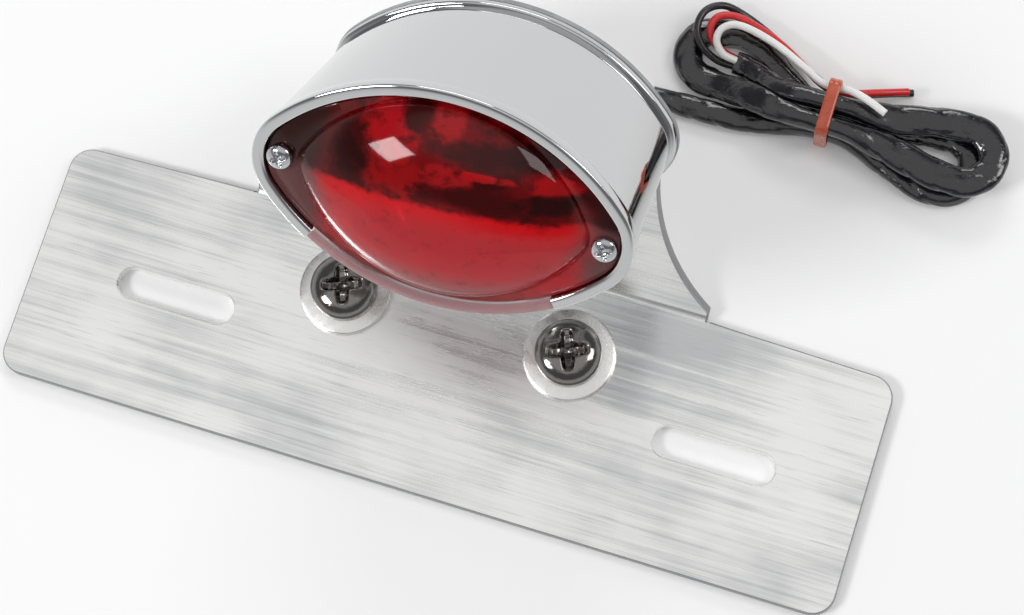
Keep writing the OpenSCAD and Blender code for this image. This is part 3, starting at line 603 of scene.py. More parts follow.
class Shell:
    """Grids of points, in millimetres, that become one mesh."""

    def __init__(self) -> None:
        """Starts empty."""
        self.points: List[np.ndarray] = []
        self.faces: List[List[int]] = []
        self.looks: List[int] = []
        self.look = 0
        self.count = 0

    def add_points(self, points: np.ndarray) -> int:
        """Adds rows of points and returns the number of the first.

        Args:
            points: rows of x, y and z.

        Returns:
            The first new point's number.
        """
        first = self.count
        self.points.append(points.reshape(-1, 3))
        self.count += len(self.points[-1])
        return first

    def grid(self, points: np.ndarray, round_rows: bool = False, round_cols: bool = False) -> None:
        """Adds a grid and the quads between neighbours.

        Args:
            points: rows by columns by 3.
            round_rows: the last row joins the first.
            round_cols: the last column joins the first.
        """
        rows, cols = points.shape[:2]
        index = self.add_points(points) + np.arange(rows * cols).reshape(rows, cols)
        if round_rows:
            index = np.vstack([index, index[:1]])
        if round_cols:
            index = np.hstack([index, index[:, :1]])
        quads = np.stack(
            [index[:-1, :-1], index[1:, :-1], index[1:, 1:], index[:-1, 1:]], axis=-1
        )
        self._add_faces(quads.reshape(-1, 4).tolist())

    def cap(self, ring: np.ndarray) -> None:
        """Closes a ring of points with one flat face."""
        first = self.add_points(ring)
        self._add_faces([list(range(first, first + len(ring)))])

    def panel(self, outline: np.ndarray, holes: Sequence[np.ndarray]) -> None:
        """Fills a flat outline, less its holes, with triangles; all are N by 3.

        Args:
            outline: the outer loop.
            holes: the loops left open.
        """
        first = self.add_points(np.vstack([outline, *holes]))
        loops = [[Vector(p) for p in loop] for loop in (outline, *holes)]
        self._add_faces([[first + i for i in face] for face in tessellate_polygon(loops)])

    def _add_faces(self, faces: List[List[int]]) -> None:
        """Adds faces in the look that is set."""
        self.faces.extend(faces)
        self.looks.extend([self.look] * len(faces))

    def build(self, name: str, look: Look, sharp: float = 30.0, weld: float = 0.002,
              replaces: Sequence[str] = (), inside: Optional[Look] = None
              ) -> bpy.types.Object:
        """Makes the piece, riding on the body.

        Args:
            name: name of the piece.
            look: its finish.
            sharp: edges that turn by more than this angle stay sharp.
            weld: points closer than this many millimetres become one.
            replaces: CAD nodes that the piece stands for.
            inside: finish of the faces that were added in look 1.

        Returns:
            The object, at the origin, unturned and unscaled.
        """
        mesh = bpy.data.meshes.new(name)
        mesh.from_pydata((np.vstack(self.points) * MM).tolist(), [], self.faces)
        mesh.polygons.foreach_set("material_index", self.looks)
        work = bmesh.new()
        work.from_mesh(mesh)
        bmesh.ops.remove_doubles(work, verts=work.verts, dist=weld * MM)
        bmesh.ops.dissolve_degenerate(work, edges=work.edges, dist=weld * MM * 0.5)
        bmesh.ops.recalc_face_normals(work, faces=work.faces)
        work.to_mesh(mesh)
        work.free()
        mesh.polygons.foreach_set("use_smooth", np.ones(len(mesh.polygons), dtype=bool))
        mesh.set_sharp_from_angle(angle=math.radians(sharp))
        piece = bpy.data.objects.new(name, mesh)
        bpy.context.scene.collection.objects.link(piece)
        enlist(piece, look, replaces)
        if inside:
            mesh.materials.append(inside.value.material())
        return piece


def enlist(piece: bpy.types.Object, look: Look, replaces: Sequence[str]) -> bpy.types.Object:
    """Gives a piece its finish, and says what it rides on and stands for.

    Args:
        piece: the new object.
        look: its finish.
        replaces: CAD nodes that it stands for.

    Returns:
        The same object.
    """
    piece.data.materials.append(look.value.material())
    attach(piece, BODY)
    if replaces:
        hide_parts(*replaces)
    LOG.info("made %s", piece.name)
    return piece


def lathe(profile: np.ndarray, centre: Sequence[float] = (0, 0), steps: int = 96) -> np.ndarray:
    """Turns a profile round an upright axis.

    A point (r, h) of the profile at angle t is (cx + r cos t, cy + r sin t, h).

    Args:
        profile: P by 2, radius and height.
        centre: place of the axis.
        steps: points round the axis.

    Returns:
        P by steps by 3.
    """
    turn = np.linspace(0, 2 * np.pi, steps, endpoint=False)
    radius, height = profile[:, :1], profile[:, 1:]
    return np.stack([centre[0] + radius * np.cos(turn), centre[1] + radius * np.sin(turn),
                     height + 0 * turn], axis=-1)


def arc(centre: Sequence[float], radius: float, start: float, end: float,
        steps: int) -> np.ndarray:
    """Points of an arc: centre plus radius times (cos, sin) of the angle, in degrees."""
    turn = np.radians(np.linspace(start, end, steps))
    return np.stack([centre[0] + radius * np.cos(turn), centre[1] + radius * np.sin(turn)], -1)


def line(*points: Sequence[float]) -> np.ndarray:
    """The points as an array."""
    return np.array(points, dtype=float)


def at_height(flat: np.ndarray, height: float) -> np.ndarray:
    """Flat points lifted to a height."""
    return np.column_stack([flat, np.full(len(flat), height)])


def inset(loop: np.ndarray, margin: float) -> np.ndarray:
    """Moves a closed loop to its left by a margin: each point along the mean of its two edges'
    normals, divided by the cosine of half the turn between them.

    Args:
        loop: N by 2, anticlockwise for an outline and clockwise for a hole.
        margin: distance in millimetres.

    Returns:
        N by 2.
    """
    edge = np.roll(loop, -1, axis=0) - loop
    edge = edge / np.linalg.norm(edge, axis=1, keepdims=True)
    normal = np.stack([-edge[:, 1], edge[:, 0]], axis=-1)
    mean = normal + np.roll(normal, 1, axis=0)
    mean = mean / np.linalg.norm(mean, axis=1, keepdims=True)
    cosine = np.sum(mean * normal, axis=1, keepdims=True)
    return loop + mean * margin / np.maximum(cosine, 0.4)


def smoothstep(low: float, high: float, value: np.ndarray) -> np.ndarray:
    """Runs from 0 to 1 between low and high as 3 t^2 - 2 t^3."""
    t = np.clip((value - low) / (high - low), 0, 1)
    return t * t * (3 - 2 * t)


@dataclass(frozen=True)
class Neck:
    """The bent part's axes. A point (x, v, h) is x across, v up the neck and h out of it."""

    bend_line: float = 17.2
    sheet: float = 3.0
    angle: float = math.radians(45)
    lamp_up: float = 42.0

    def to_row(self, points: np.ndarray, from_lamp: bool = True) -> np.ndarray:
        """Carries points to the row's frame by a turn of the bend's angle about X.

        Args:
            points: any shape ending in 3.
            from_lamp: they are measured from the lamp's axis, not from the bend.

        Returns:
            The same shape.
        """
        across, up, out = points[..., 0], points[..., 1], points[..., 2]
        up = up + (self.lamp_up if from_lamp else 0.0)
        cosine, sine = math.cos(self.angle), math.sin(self.angle)
        return np.stack([across, self.bend_line + up * cosine - out * sine,
                         self.sheet + up * sine + out * cosine], axis=-1)


NECK = Neck()


@dataclass(frozen=True)
class Eye:
    """An eye outline: two large arcs joined by two tip arcs."""

    half_w: float = 39.5
    half_h: float = 23.5
    tip_r: float = 10.5
    tip_steps: int = 40
    arc_steps: int = 120

    @property
    def tip_x(self) -> float:
        """Distance of a tip arc's centre from the middle."""
        return self.half_w - self.tip_r

    @property
    def arc_r(self) -> float:
        """Radius of a large arc."""
        return ((self.tip_x**2 + self.half_h**2 - self.tip_r**2)
                / (2 * (self.half_h - self.tip_r)))

    @property
    def arc_y(self) -> float:
        """Distance of a large arc's centre from the middle."""
        return self.arc_r - self.half_h

    @property
    def start(self) -> float:
        """Angle at which the right tip's arc gives way to the upper arc."""
        return math.degrees(math.atan2(self.arc_y, self.tip_x))

    def ring(self, grow: Union[float, np.ndarray] = 0.0) -> np.ndarray:
        """The outline grown outwards: each arc keeps its centre, and its radius grows.

        Args:
            grow: one number, or P by 1 for P rings.

        Returns:
            N by 2, or P by N by 2, anticlockwise from the right tip's lower end.
        """
        s = self.start
        spans = [(-s, s, self.tip_steps, self.tip_x, 0.0, self.tip_r),
                 (s, 180 - s, self.arc_steps, 0.0, -self.arc_y, self.arc_r),
                 (180 - s, 180 + s, self.tip_steps, -self.tip_x, 0.0, self.tip_r),
                 (180 + s, 360 - s, self.arc_steps, 0.0, self.arc_y, self.arc_r)]
        turn = np.radians(np.concatenate(
            [np.linspace(a, b, n, endpoint=False) for a, b, n, *_ in spans]))
        centre_x, centre_y, radius = (np.concatenate(
            [np.full(span[2], span[k]) for span in spans]) for k in (3, 4, 5))
        return np.stack([centre_x + (radius + grow) * np.cos(turn),
                         centre_y + (radius + grow) * np.sin(turn)], axis=-1)

    def lower_arc(self, grow: np.ndarray, half_angle: float, steps: int) -> np.ndarray:
        """The middle of the lower arc, up to half_angle to each side: P by steps by 2.

        Args:
            grow: P by 1, how far outwards.
            half_angle: degrees to each side.
            steps: points along the arc.

        Returns:
            P by steps by 2.
        """
        turn = np.radians(np.linspace(270 - half_angle, 270 + half_angle, steps))
        radius = self.arc_r + grow
        return np.stack([radius * np.cos(turn), self.arc_y + radius * np.sin(turn)], axis=-1)


EYE = Eye()


# ---------------------------------------------------------------------------------------------
# Studio
# ---------------------------------------------------------------------------------------------


@dataclass
class Studio:
    """Camera, plain pale floor, an even dome and three soft lamps."""

    camera_at: Sequence[float] = (102.11, -109.32, 590.36)
    right: Sequence[float] = (0.949084, 0.302836, -0.086771)
    up: Sequence[float] = (-0.277003, 0.933438, 0.227953)
    back: Sequence[float] = (0.150028, -0.192311, 0.969798)
    lens: float = 91.41
    floor_size: float = 3.0
    floor_colour: Colour = (0.86, 0.86, 0.86)
    floor_glow: float = 0.1
    floor_drop: float = 0.0002
    sensor: float = 36.0
    clip: Tuple[float, float] = (0.01, 20.0)
    low_fades: Tuple[float, float] = (0.2, 0.5)
    high_starts: Tuple[float, float] = (0.75, 0.9)
    low_tone: Colour = (0.8, 0.8, 0.8)
    middle_tone: Colour = (0.2, 0.2, 0.205)
    high_tone: Colour = (0.76, 0.76, 0.76)
    lamps: Tuple[Tuple[str, Sequence[float], Sequence[float], Tuple[float, float], float],
                 ...] = (
        ("key", (-700, -560, 950), (0, 30, 20), (0.4, 0.3), 7.0),
        ("fill", (700, 300, 850), (20, 20, 10), (0.4, 0.4), 2.5),
        ("back", (-200, 800, 650), (0, 40, 40), (0.5, 0.25), 2.0))

    def place_camera(self) -> None:
        """The camera stands where the photograph's stood."""
        data = bpy.data.cameras.new("camera")
        data.lens, data.sensor_width, data.sensor_fit = self.lens, self.sensor, "HORIZONTAL"
        data.clip_start, data.clip_end = self.clip
        camera = bpy.data.objects.new("camera", data)
        turn = Matrix((self.right, self.up, self.back)).transposed().to_4x4()
        camera.matrix_world = Matrix.Translation(Vector(self.camera_at) * MM) @ turn
        bpy.context.scene.collection.objects.link(camera)
        bpy.context.scene.camera = camera

    def seen(self, board: Board) -> Signal:
        """1 for rays of the camera, of a reflection and of clear plastic, and 0 for others.

        Args:
            board: the floor's node tree.

        Returns:
            The share, 0 or 1.
        """
        path = board.node("ShaderNodeLightPath")
        rays = [Signal(board, path.outputs[f"Is {kind} Ray"])
                for kind in ("Camera", "Glossy", "Transmission")]
        return rays[0].largest(rays[1]).largest(rays[2])

    def lay_floor(self) -> None:
        """A pale floor that looks white where no shadow lies."""
        half = self.floor_size / 2
        mesh = bpy.data.meshes.new("floor")
        corners = [(-half, -half), (half, -half), (half, half), (-half, half)]
        mesh.from_pydata([(x, y, -self.floor_drop) for x, y in corners], [], [[0, 1, 2, 3]])
        material = bpy.data.materials.new("floor")
        material.use_nodes = True
        board = Board(material.node_tree)
        paper = board.node("ShaderNodeBsdfDiffuse", {}, {"Color": rgba(self.floor_colour)})
        glow = board.node("ShaderNodeEmission", {}, {
            "Color": rgba((1, 1, 1)), "Strength": self.seen(board) * self.floor_glow})
        board.finish(board.node("ShaderNodeAddShader", {}, {
            0: Signal(board, paper.outputs[0]), 1: Signal(board, glow.outputs[0])}))
        mesh.materials.append(material)
        floor = bpy.data.objects.new("floor", mesh)
        bpy.context.scene.collection.objects.link(floor)

    def light_world(self) -> None:
        """A plain dome, the same for every ray and all the way round: pale low down, grey above
        that, and pale overhead."""
        world = bpy.data.worlds.new("studio")
        world.use_nodes = True
        bpy.context.scene.world = world
        board = Board(world.node_tree)
        way = board.out("ShaderNodeTexCoord", output="Generated")
        parts = board.node("ShaderNodeSeparateXYZ", {}, {"Vector": way})
        rise = Signal(board, parts.outputs[2])
        tone = board.blend(rise.ramp(*self.low_fades), rgba(self.low_tone),
                           rgba(self.middle_tone))
        tone = board.blend(rise.ramp(*self.high_starts), tone, rgba(self.high_tone))
        board.finish(board.node("ShaderNodeBackground", {}, {"Color": tone, "Strength": 1.0}))

    def hang_light(self, name: str, place: Sequence[float], aim: Sequence[float],
                   size: Tuple[float, float], power: float) -> None:
        """A soft rectangular lamp.

        Args:
            name: its name.
            place: where it hangs, in millimetres.
            aim: the point that it faces.
            size: width and height in metres.
            power: watts.
        """
        data = bpy.data.lights.new(name, "AREA")
        data.shape, data.size, data.size_y, data.energy = "RECTANGLE", *size, power
        lamp = bpy.data.objects.new(name, data)
        lamp.location = Vector(place) * MM
        lamp.rotation_mode = "QUATERNION"
        lamp.rotation_quaternion = (Vector(aim) - Vector(place)).to_track_quat("-Z", "Y")
        bpy.context.scene.collection.objects.link(lamp)

    def build(self) -> None:
        """Everything but the camera."""
        scene = bpy.context.scene
        scene.view_settings.view_transform = "Standard"
        self.lay_floor()
        self.light_world()
        for lamp in self.lamps:
            self.hang_light(*lamp)
        LOG.info("studio ready")


# ---------------------------------------------------------------------------------------------
# Wiring
# ---------------------------------------------------------------------------------------------


def smooth_line(points: np.ndarray, steps: int) -> np.ndarray:
    """A smooth curve through points: cubic stretches whose slope at a point is half the chord
    between its two neighbours.

    Args:
        points: N by 3.
        steps: points in each stretch.

    Returns:
        (N - 1) times steps, plus 1, by 3.
    """
    slope = np.gradient(points, axis=0)
    t = np.linspace(0, 1, steps, endpoint=False)[None, :, None]
    a, b = points[:-1, None], points[1:, None]
    m, n = slope[:-1, None], slope[1:, None]
    curve = ((2 * t**3 - 3 * t**2 + 1) * a + (t**3 - 2 * t**2 + t) * m
             + (3 * t**2 - 2 * t**3) * b + (t**3 - t**2) * n)
    return np.vstack([curve.reshape(-1, 3), points[-1:]])


@dataclass
class Cord:
    """A wire: a round curve along its route."""

    name: str
    node: str
    route: np.ndarray
    diameter: float
    look: Look
    far_end: str = "bare"
    lay: str = "loose"

    def build(self) -> bpy.types.Object:
        """Returns:
            The curve object.
        """
        data = bpy.data.curves.new(self.name, "CURVE")
        data.dimensions, data.bevel_depth = "3D", self.diameter / 2 * MM
        data.bevel_resolution, data.use_fill_caps = 5, True
        spline = data.splines.new("POLY")
        spline.points.add(len(self.route) - 1)
        flat = np.column_stack([self.route * MM, np.ones(len(self.route))])
        spline.points.foreach_set("co", flat.ravel())
        spline.points.foreach_set("radius", np.ones(len(self.route)))
        spline.use_smooth = True
        cord = bpy.data.objects.new(self.name, data)
        bpy.context.scene.collection.objects.link(cord)
        enlist(cord, self.look, [self.node])
        return cord


@dataclass
class Wiring:
    """Three wires, the sleeve over them, folded into a hank, and their free ends."""

    wire_d: float = 1.8
    sleeve_d: float = 4.8
    step: float = 5.35
    own_run: float = 20.0
    press_gap: float = 0.06
    rings: int = 900
    ring_steps: int = 44
    tie_t: float = 1.0
    hank: Tuple[float, float] = (68.5, 71.0)
    mouth_u: float = -41.0
    tail_u: float = -24.5
    waist_v: Tuple[float, ...] = (-0.5, 0.5, -0.5, 0.5)
    waist_w: Tuple[float, ...] = (0, 0, 1, 1)
    right_v: Tuple[float, ...] = (-10.2, 5.8, -8.4, 7.6)
    right_w: Tuple[float, ...] = (0, 0, 1, 1)
    left_v: Tuple[float, ...] = (-5.2, 15.8, 0.8, 8.2)
    right_spread: Tuple[Tuple[float, float], ...] = ((2, 29), (2, 29), (2, 33), (2, 33))
    left_spread: Tuple[Tuple[float, float], ...] = ((0, 24), (0, 26), (9, 30), (9, 24.5))
    left_climb: Tuple[Tuple[float, float], ...] = ((0, 17), (0, 17), (13, 30), (7, 24.5))
    right_climb: Tuple[Tuple[float, float], ...] = ((0, 17),) * 4
    right_u: Tuple[float, ...] = (29, 29, 33, 33)
    bundle: Tuple[Tuple[float, float, float], ...] = (
        (0.5, 57.5, 22), (2.5, 62, 15.5), (7, 65, 9), (13.5, 66.3, 4.8), (20.5, 66.1, 2.9),
        (27.5, 65.8, 2.4))
    white_end: Tuple[Tuple[float, float, float], ...] = (
        (44, 79.2, 3.5), (40.8, 79.5, 5), (38.6, 81.6, 6.6), (38.9, 84.4, 7.6), (41.6, 86.2, 8),
        (46, 86, 8), (53, 84, 7.8), (60, 80.6, 8.4), (65, 77.9, 9), (68.5, 77.2, 9.1),
        (72, 77.2, 10.7), (76.5, 75.6, 12.5), (81.5, 73.6, 12.4))
    red_end: Tuple[Tuple[float, float, float], ...] = (
        (44, 80.1, 1.9), (40.4, 80.8, 2.8), (37.2, 82.4, 5), (36.2, 85.2, 6.4), (37.6, 87.8, 6.6),
        (41.5, 88.8, 6.4), (47, 87.6, 6.2), (53, 85.4, 5.9), (59, 82, 6.1), (64.5, 78.4, 6.9),
        (68.5, 77.2, 7.1), (72, 77.6, 7), (78, 79.8, 6.2), (85, 82.6, 4.6))
    black_end: Tuple[Tuple[float, float, float], ...] = (
        (44, 78.2, 1.9), (39.6, 78.4, 2.6), (35.6, 80, 4.8), (33.2, 83.6, 6.6), (34, 88.2, 6.8),
        (37.8, 90.75, 6), (43, 90.55, 3.4), (49, 88.6, 1.6), (55, 85.6, 1.2), (60, 82.4, 2),
        (64.5, 79.6, 4.2), (68.5, 77.2, 5.1), (72, 77.9, 4.4), (78, 80.8, 2.2), (86, 83.8, 1))

    def _run(self, k: int, u: np.ndarray) -> np.ndarray:
        """Run k of the hank: at distance u from the tie it lies blended between its place in
        the waist and its place at that end, by a smooth step of the distance.

        Args:
            k: the run, 0 to 3.
            u: N distances from the tie, to the right.

        Returns:
            N by 3.
        """
        to_right = u > 0
        far = np.abs(u)
        spread = np.where(to_right, smoothstep(*self.right_spread[k], far),
                          smoothstep(*self.left_spread[k], far))
        climb = np.where(to_right, smoothstep(*self.right_climb[k], far),
                         smoothstep(*self.left_climb[k], far))
        across = self.waist_v[k] * self.step
        across = across + (np.where(to_right, self.right_v[k], self.left_v[k]) - across) * spread
        height = self.tie_t + 0.15 + self.waist_w[k] * self.step
        height = height + (np.where(to_right, self.right_w[k] * self.step, 0.0) - height) * climb
        return np.stack([self.hank[0] + u, self.hank[1] + across,
                         self.sleeve_d / 2 + height], axis=-1)

    def sleeve_route(self) -> np.ndarray:
        """Four runs joined by half circles, the first fold at the right.

        Returns:
            N by 3, from the mouth by the lamp.
        """
        left_u = (self.mouth_u, -30.0, -30.0, self.tail_u)
        stretches = []
        for k in range(4):
            ends = (left_u[k], self.right_u[k])
            u = np.linspace(*(ends if k % 2 == 0 else ends[::-1]), 60)
            run = self._run(k, u)
            stretches.append(run if k == 0 else run[1:])
            if k < 3:
                a, b = run[-1], self._run(k + 1, u[-1:])[0]
                side = 1 if k % 2 == 0 else -1
                turn = np.linspace(0, np.pi, 28)[1:-1, None]
                bulge = np.array([side * abs(b[1] - a[1]) / 2, 0, 0])
                stretches.append((a + b) / 2 - (b - a) / 2 * np.cos(turn)
                                 + bulge * np.sin(turn))
                stretches.append(b[None])
        return np.vstack(stretches)

    def strand(self, turn: float) -> np.ndarray:
        """One wire of the bundle: beside the bundle's line, at an angle round it, by 1.22
        wire radii.

        Args:
            turn: the angle in degrees.

        Returns:
            N by 3.
        """
        inside = NECK.to_row(np.array([[0, 0, 5.6], [0, 0, 0], [0, 0, -5], [0, 0, -9]], float))
        route = np.vstack([inside, np.array(self.bundle)])
        after = np.vstack([route[1:], route[-1:]])
        before = np.vstack([route[:1], route[:-1]])
        way = after - before
        way = way / np.linalg.norm(way, axis=1, keepdims=True)
        side = np.cross(way, [0, 0, 1.0])
        side = side / np.linalg.norm(side, axis=1, keepdims=True)
        up = np.cross(side, way)
        turn = math.radians(turn)
        beside = 1.22 * self.wire_d / 2 * (math.cos(turn) * side + math.sin(turn) * up)
        return smooth_line(route + beside, 8)

    def sleeve_skin(self, path: np.ndarray, far: np.ndarray) -> np.ndarray:
        """The sleeve's skin round its path: a section |x/a|^2.4 + |y/b|^2.4 = 1, round in the
        waist and slack beyond it, where it flattens, sinks on to the floor and spreads into
        the loop, more to the path's left than to its right. Folds in it are |sin| ridges that
        wander with the angle and the distance.

        Args:
            path: N by 3, its middle line.
            far: N, the distance along it.

        Returns:
            N by steps by 3.
        """
        way = np.gradient(path, axis=0)
        way = way / np.linalg.norm(way, axis=1, keepdims=True)
        side = np.cross(way, [0, 0, 1.0])
        side = side / np.linalg.norm(side, axis=1, keepdims=True)
        rise = np.cross(side, way)
        u = path[:, 0] - self.hank[0]
        slack = smoothstep(3.5, 17, np.abs(u)) * smoothstep(0, 9, far)
        single = (u < 0) & ((far < 45) | (far > far[-1] - 30))
        half = self.sleeve_d / 2
        inward = half - 0.08 + slack * np.where(single, 0.6, 2.68)
        outward = half - 0.08 + slack * np.where(
            single, 0.55, 0.3 * (1 - smoothstep(26, 34, np.abs(u))))
        a, shift = (inward + outward) / 2, (inward - outward) / 2
        b = (half - 0.08) - 0.5 * slack
        turn = np.linspace(0, 2 * np.pi, self.ring_steps, endpoint=False)[None, :]
        cosine, sine = np.cos(turn), np.sin(turn)
        f, amount = far[:, None], (0.35 + 0.65 * slack)[:, None]
        wander = 1.4 * np.sin(f / 8.3) + 0.9 * np.sin(2 * turn + f / 12.1)
        ridge = np.abs(np.sin(f / 2.3 + wander)) ** 0.7
        cross = np.abs(np.sin(f / 4.1 - 1.7 * np.cos(turn + f / 9.0) + 2.0 * np.sin(f / 17)))
        along = np.abs(np.sin(1.5 * turn + f / 15.0 + 0.8 * np.sin(f / 5.2)))
        dent = amount * (0.05 * (1 - ridge) + 0.07 * (1 - cross) ** 2 + 0.08 * (1 - along) ** 2)
        x = np.sign(cosine) * np.abs(cosine) ** (2 / 2.4) * a[:, None] * (1 - dent)
        y = np.sign(sine) * np.abs(sine) ** (2 / 2.4) * b[:, None] * (1 - dent)
        middle = path - [0, 0, 1] * (half - 0.02 - b)[:, None] - side * shift[:, None]
        return (middle[:, None] + x[..., None] * side[:, None] + y[..., None] * rise[:, None])

    def pressed(self, skin: np.ndarray, path: np.ndarray, far: np.ndarray) -> np.ndarray:
        """The skin where runs lie on one another, pressed flat: a point past the plane half
        way between its own ring's middle and the nearest middle of another run moves back to
        just short of that plane.

        Args:
            skin: N by steps by 3.
            path: N by 3, the middle line.
            far: N, the distance along it.

        Returns:
            As skin.
        """
        points = skin.reshape(-1, 3)
        own = np.repeat(np.arange(len(path)), skin.shape[1])
        gap = (path ** 2).sum(axis=1) - 2 * points @ path.T
        gap[np.abs(far[own][:, None] - far) < self.own_run] = np.inf
        way = path[gap.argmin(axis=1)] - path[own]
        apart = np.linalg.norm(way, axis=1)
        way = way / apart[:, None]
        past = ((points - path[own]) * way).sum(axis=1) - (apart / 2 - self.press_gap)
        return (points - np.maximum(past, 0)[:, None] * way).reshape(skin.shape)

    def build_sleeve(self) -> None:
        route = self.sleeve_route()
        far = np.concatenate([[0], np.cumsum(np.linalg.norm(np.diff(route, axis=0), axis=1))])
        even = np.linspace(0, far[-1], self.rings)
        path = np.stack([np.interp(even, far, route[:, k]) for k in range(3)], axis=-1)
        skin = self.pressed(self.sleeve_skin(path, even), path, even)
        shell = Shell()
        shell.grid(skin, round_cols=True)
        shell.cap(skin[0])
        shell.cap(skin[-1])
        sleeve = shell.build("sleeve", Look.SLEEVE, sharp=70, replaces=["wiring_sleeve"])

    def build(self) -> None:
        """Makes the sleeve, the three wires by the lamp and the three free ends."""
        self.build_sleeve()
        for colour, turn, ends, look in (
                ("red", 90, self.red_end, Look.RED_WIRE),
                ("white", 210, self.white_end, Look.WHITE_WIRE),
                ("black", 330, self.black_end, Look.BLACK_WIRE)):
            Cord(f"{colour}_lead", f"{colour}_wire", self.strand(turn), self.wire_d, look).build()
            Cord(f"{colour}_end", f"{colour}_wire", smooth_line(np.array(ends), 8),
                 self.wire_d, look).build()


@dataclass
class HankTie:
    """A flat soft band, wound twice round the waist of the hank."""

    x: float = 68.5
    y: float = 71.0
    width: float = 3.0
    thickness: float = 1.0
    low_v: float = -5.275
    high_v: float = 7.275
    high_w: float = 11.5
    corner: float = 2.4

    def build(self) -> None:
        """The band's section, a flat oval, is carried round the rounded box of the waist."""
        steps = 14
        low, high, top, r = self.low_v - 1, self.high_v + 1, self.high_w + 1, self.corner
        loop = np.vstack([
            arc((high - r, r), r, -90, 0, steps), arc((high - r, top - r), r, 0, 90, steps),
            arc((low + r, top - r), r, 90, 180, steps), arc((low + r, r), r, 180, 270, steps)])
        inner = inset(loop, self.thickness / 2)
        normal = (loop - inner) / (self.thickness / 2)
        turn = np.linspace(0, 2 * np.pi, 24, endpoint=False)
        wide = np.sign(np.cos(turn)) * np.abs(np.cos(turn)) ** 0.7 * self.width / 2
        thick = np.sign(np.sin(turn)) * np.abs(np.sin(turn)) ** 0.7 * self.thickness / 2
        groove = 1 - 0.35 * np.exp(-((wide / 0.45) ** 2))
        thick = np.where(thick > 0, thick * groove, thick)
        points = np.stack([
            self.x + wide[None, :] + 0 * loop[:, :1],
            self.y + inner[:, :1] + normal[:, :1] * thick[None, :],
            inner[:, 1:] + normal[:, 1:] * thick[None, :]], axis=-1)
        shell = Shell()
        shell.grid(points, round_rows=True, round_cols=True)
        shell.build("hank_band", Look.TIE, sharp=60, replaces=["hank_tie"])


# ---------------------------------------------------------------------------------------------
# Bracket and screws
# ---------------------------------------------------------------------------------------------


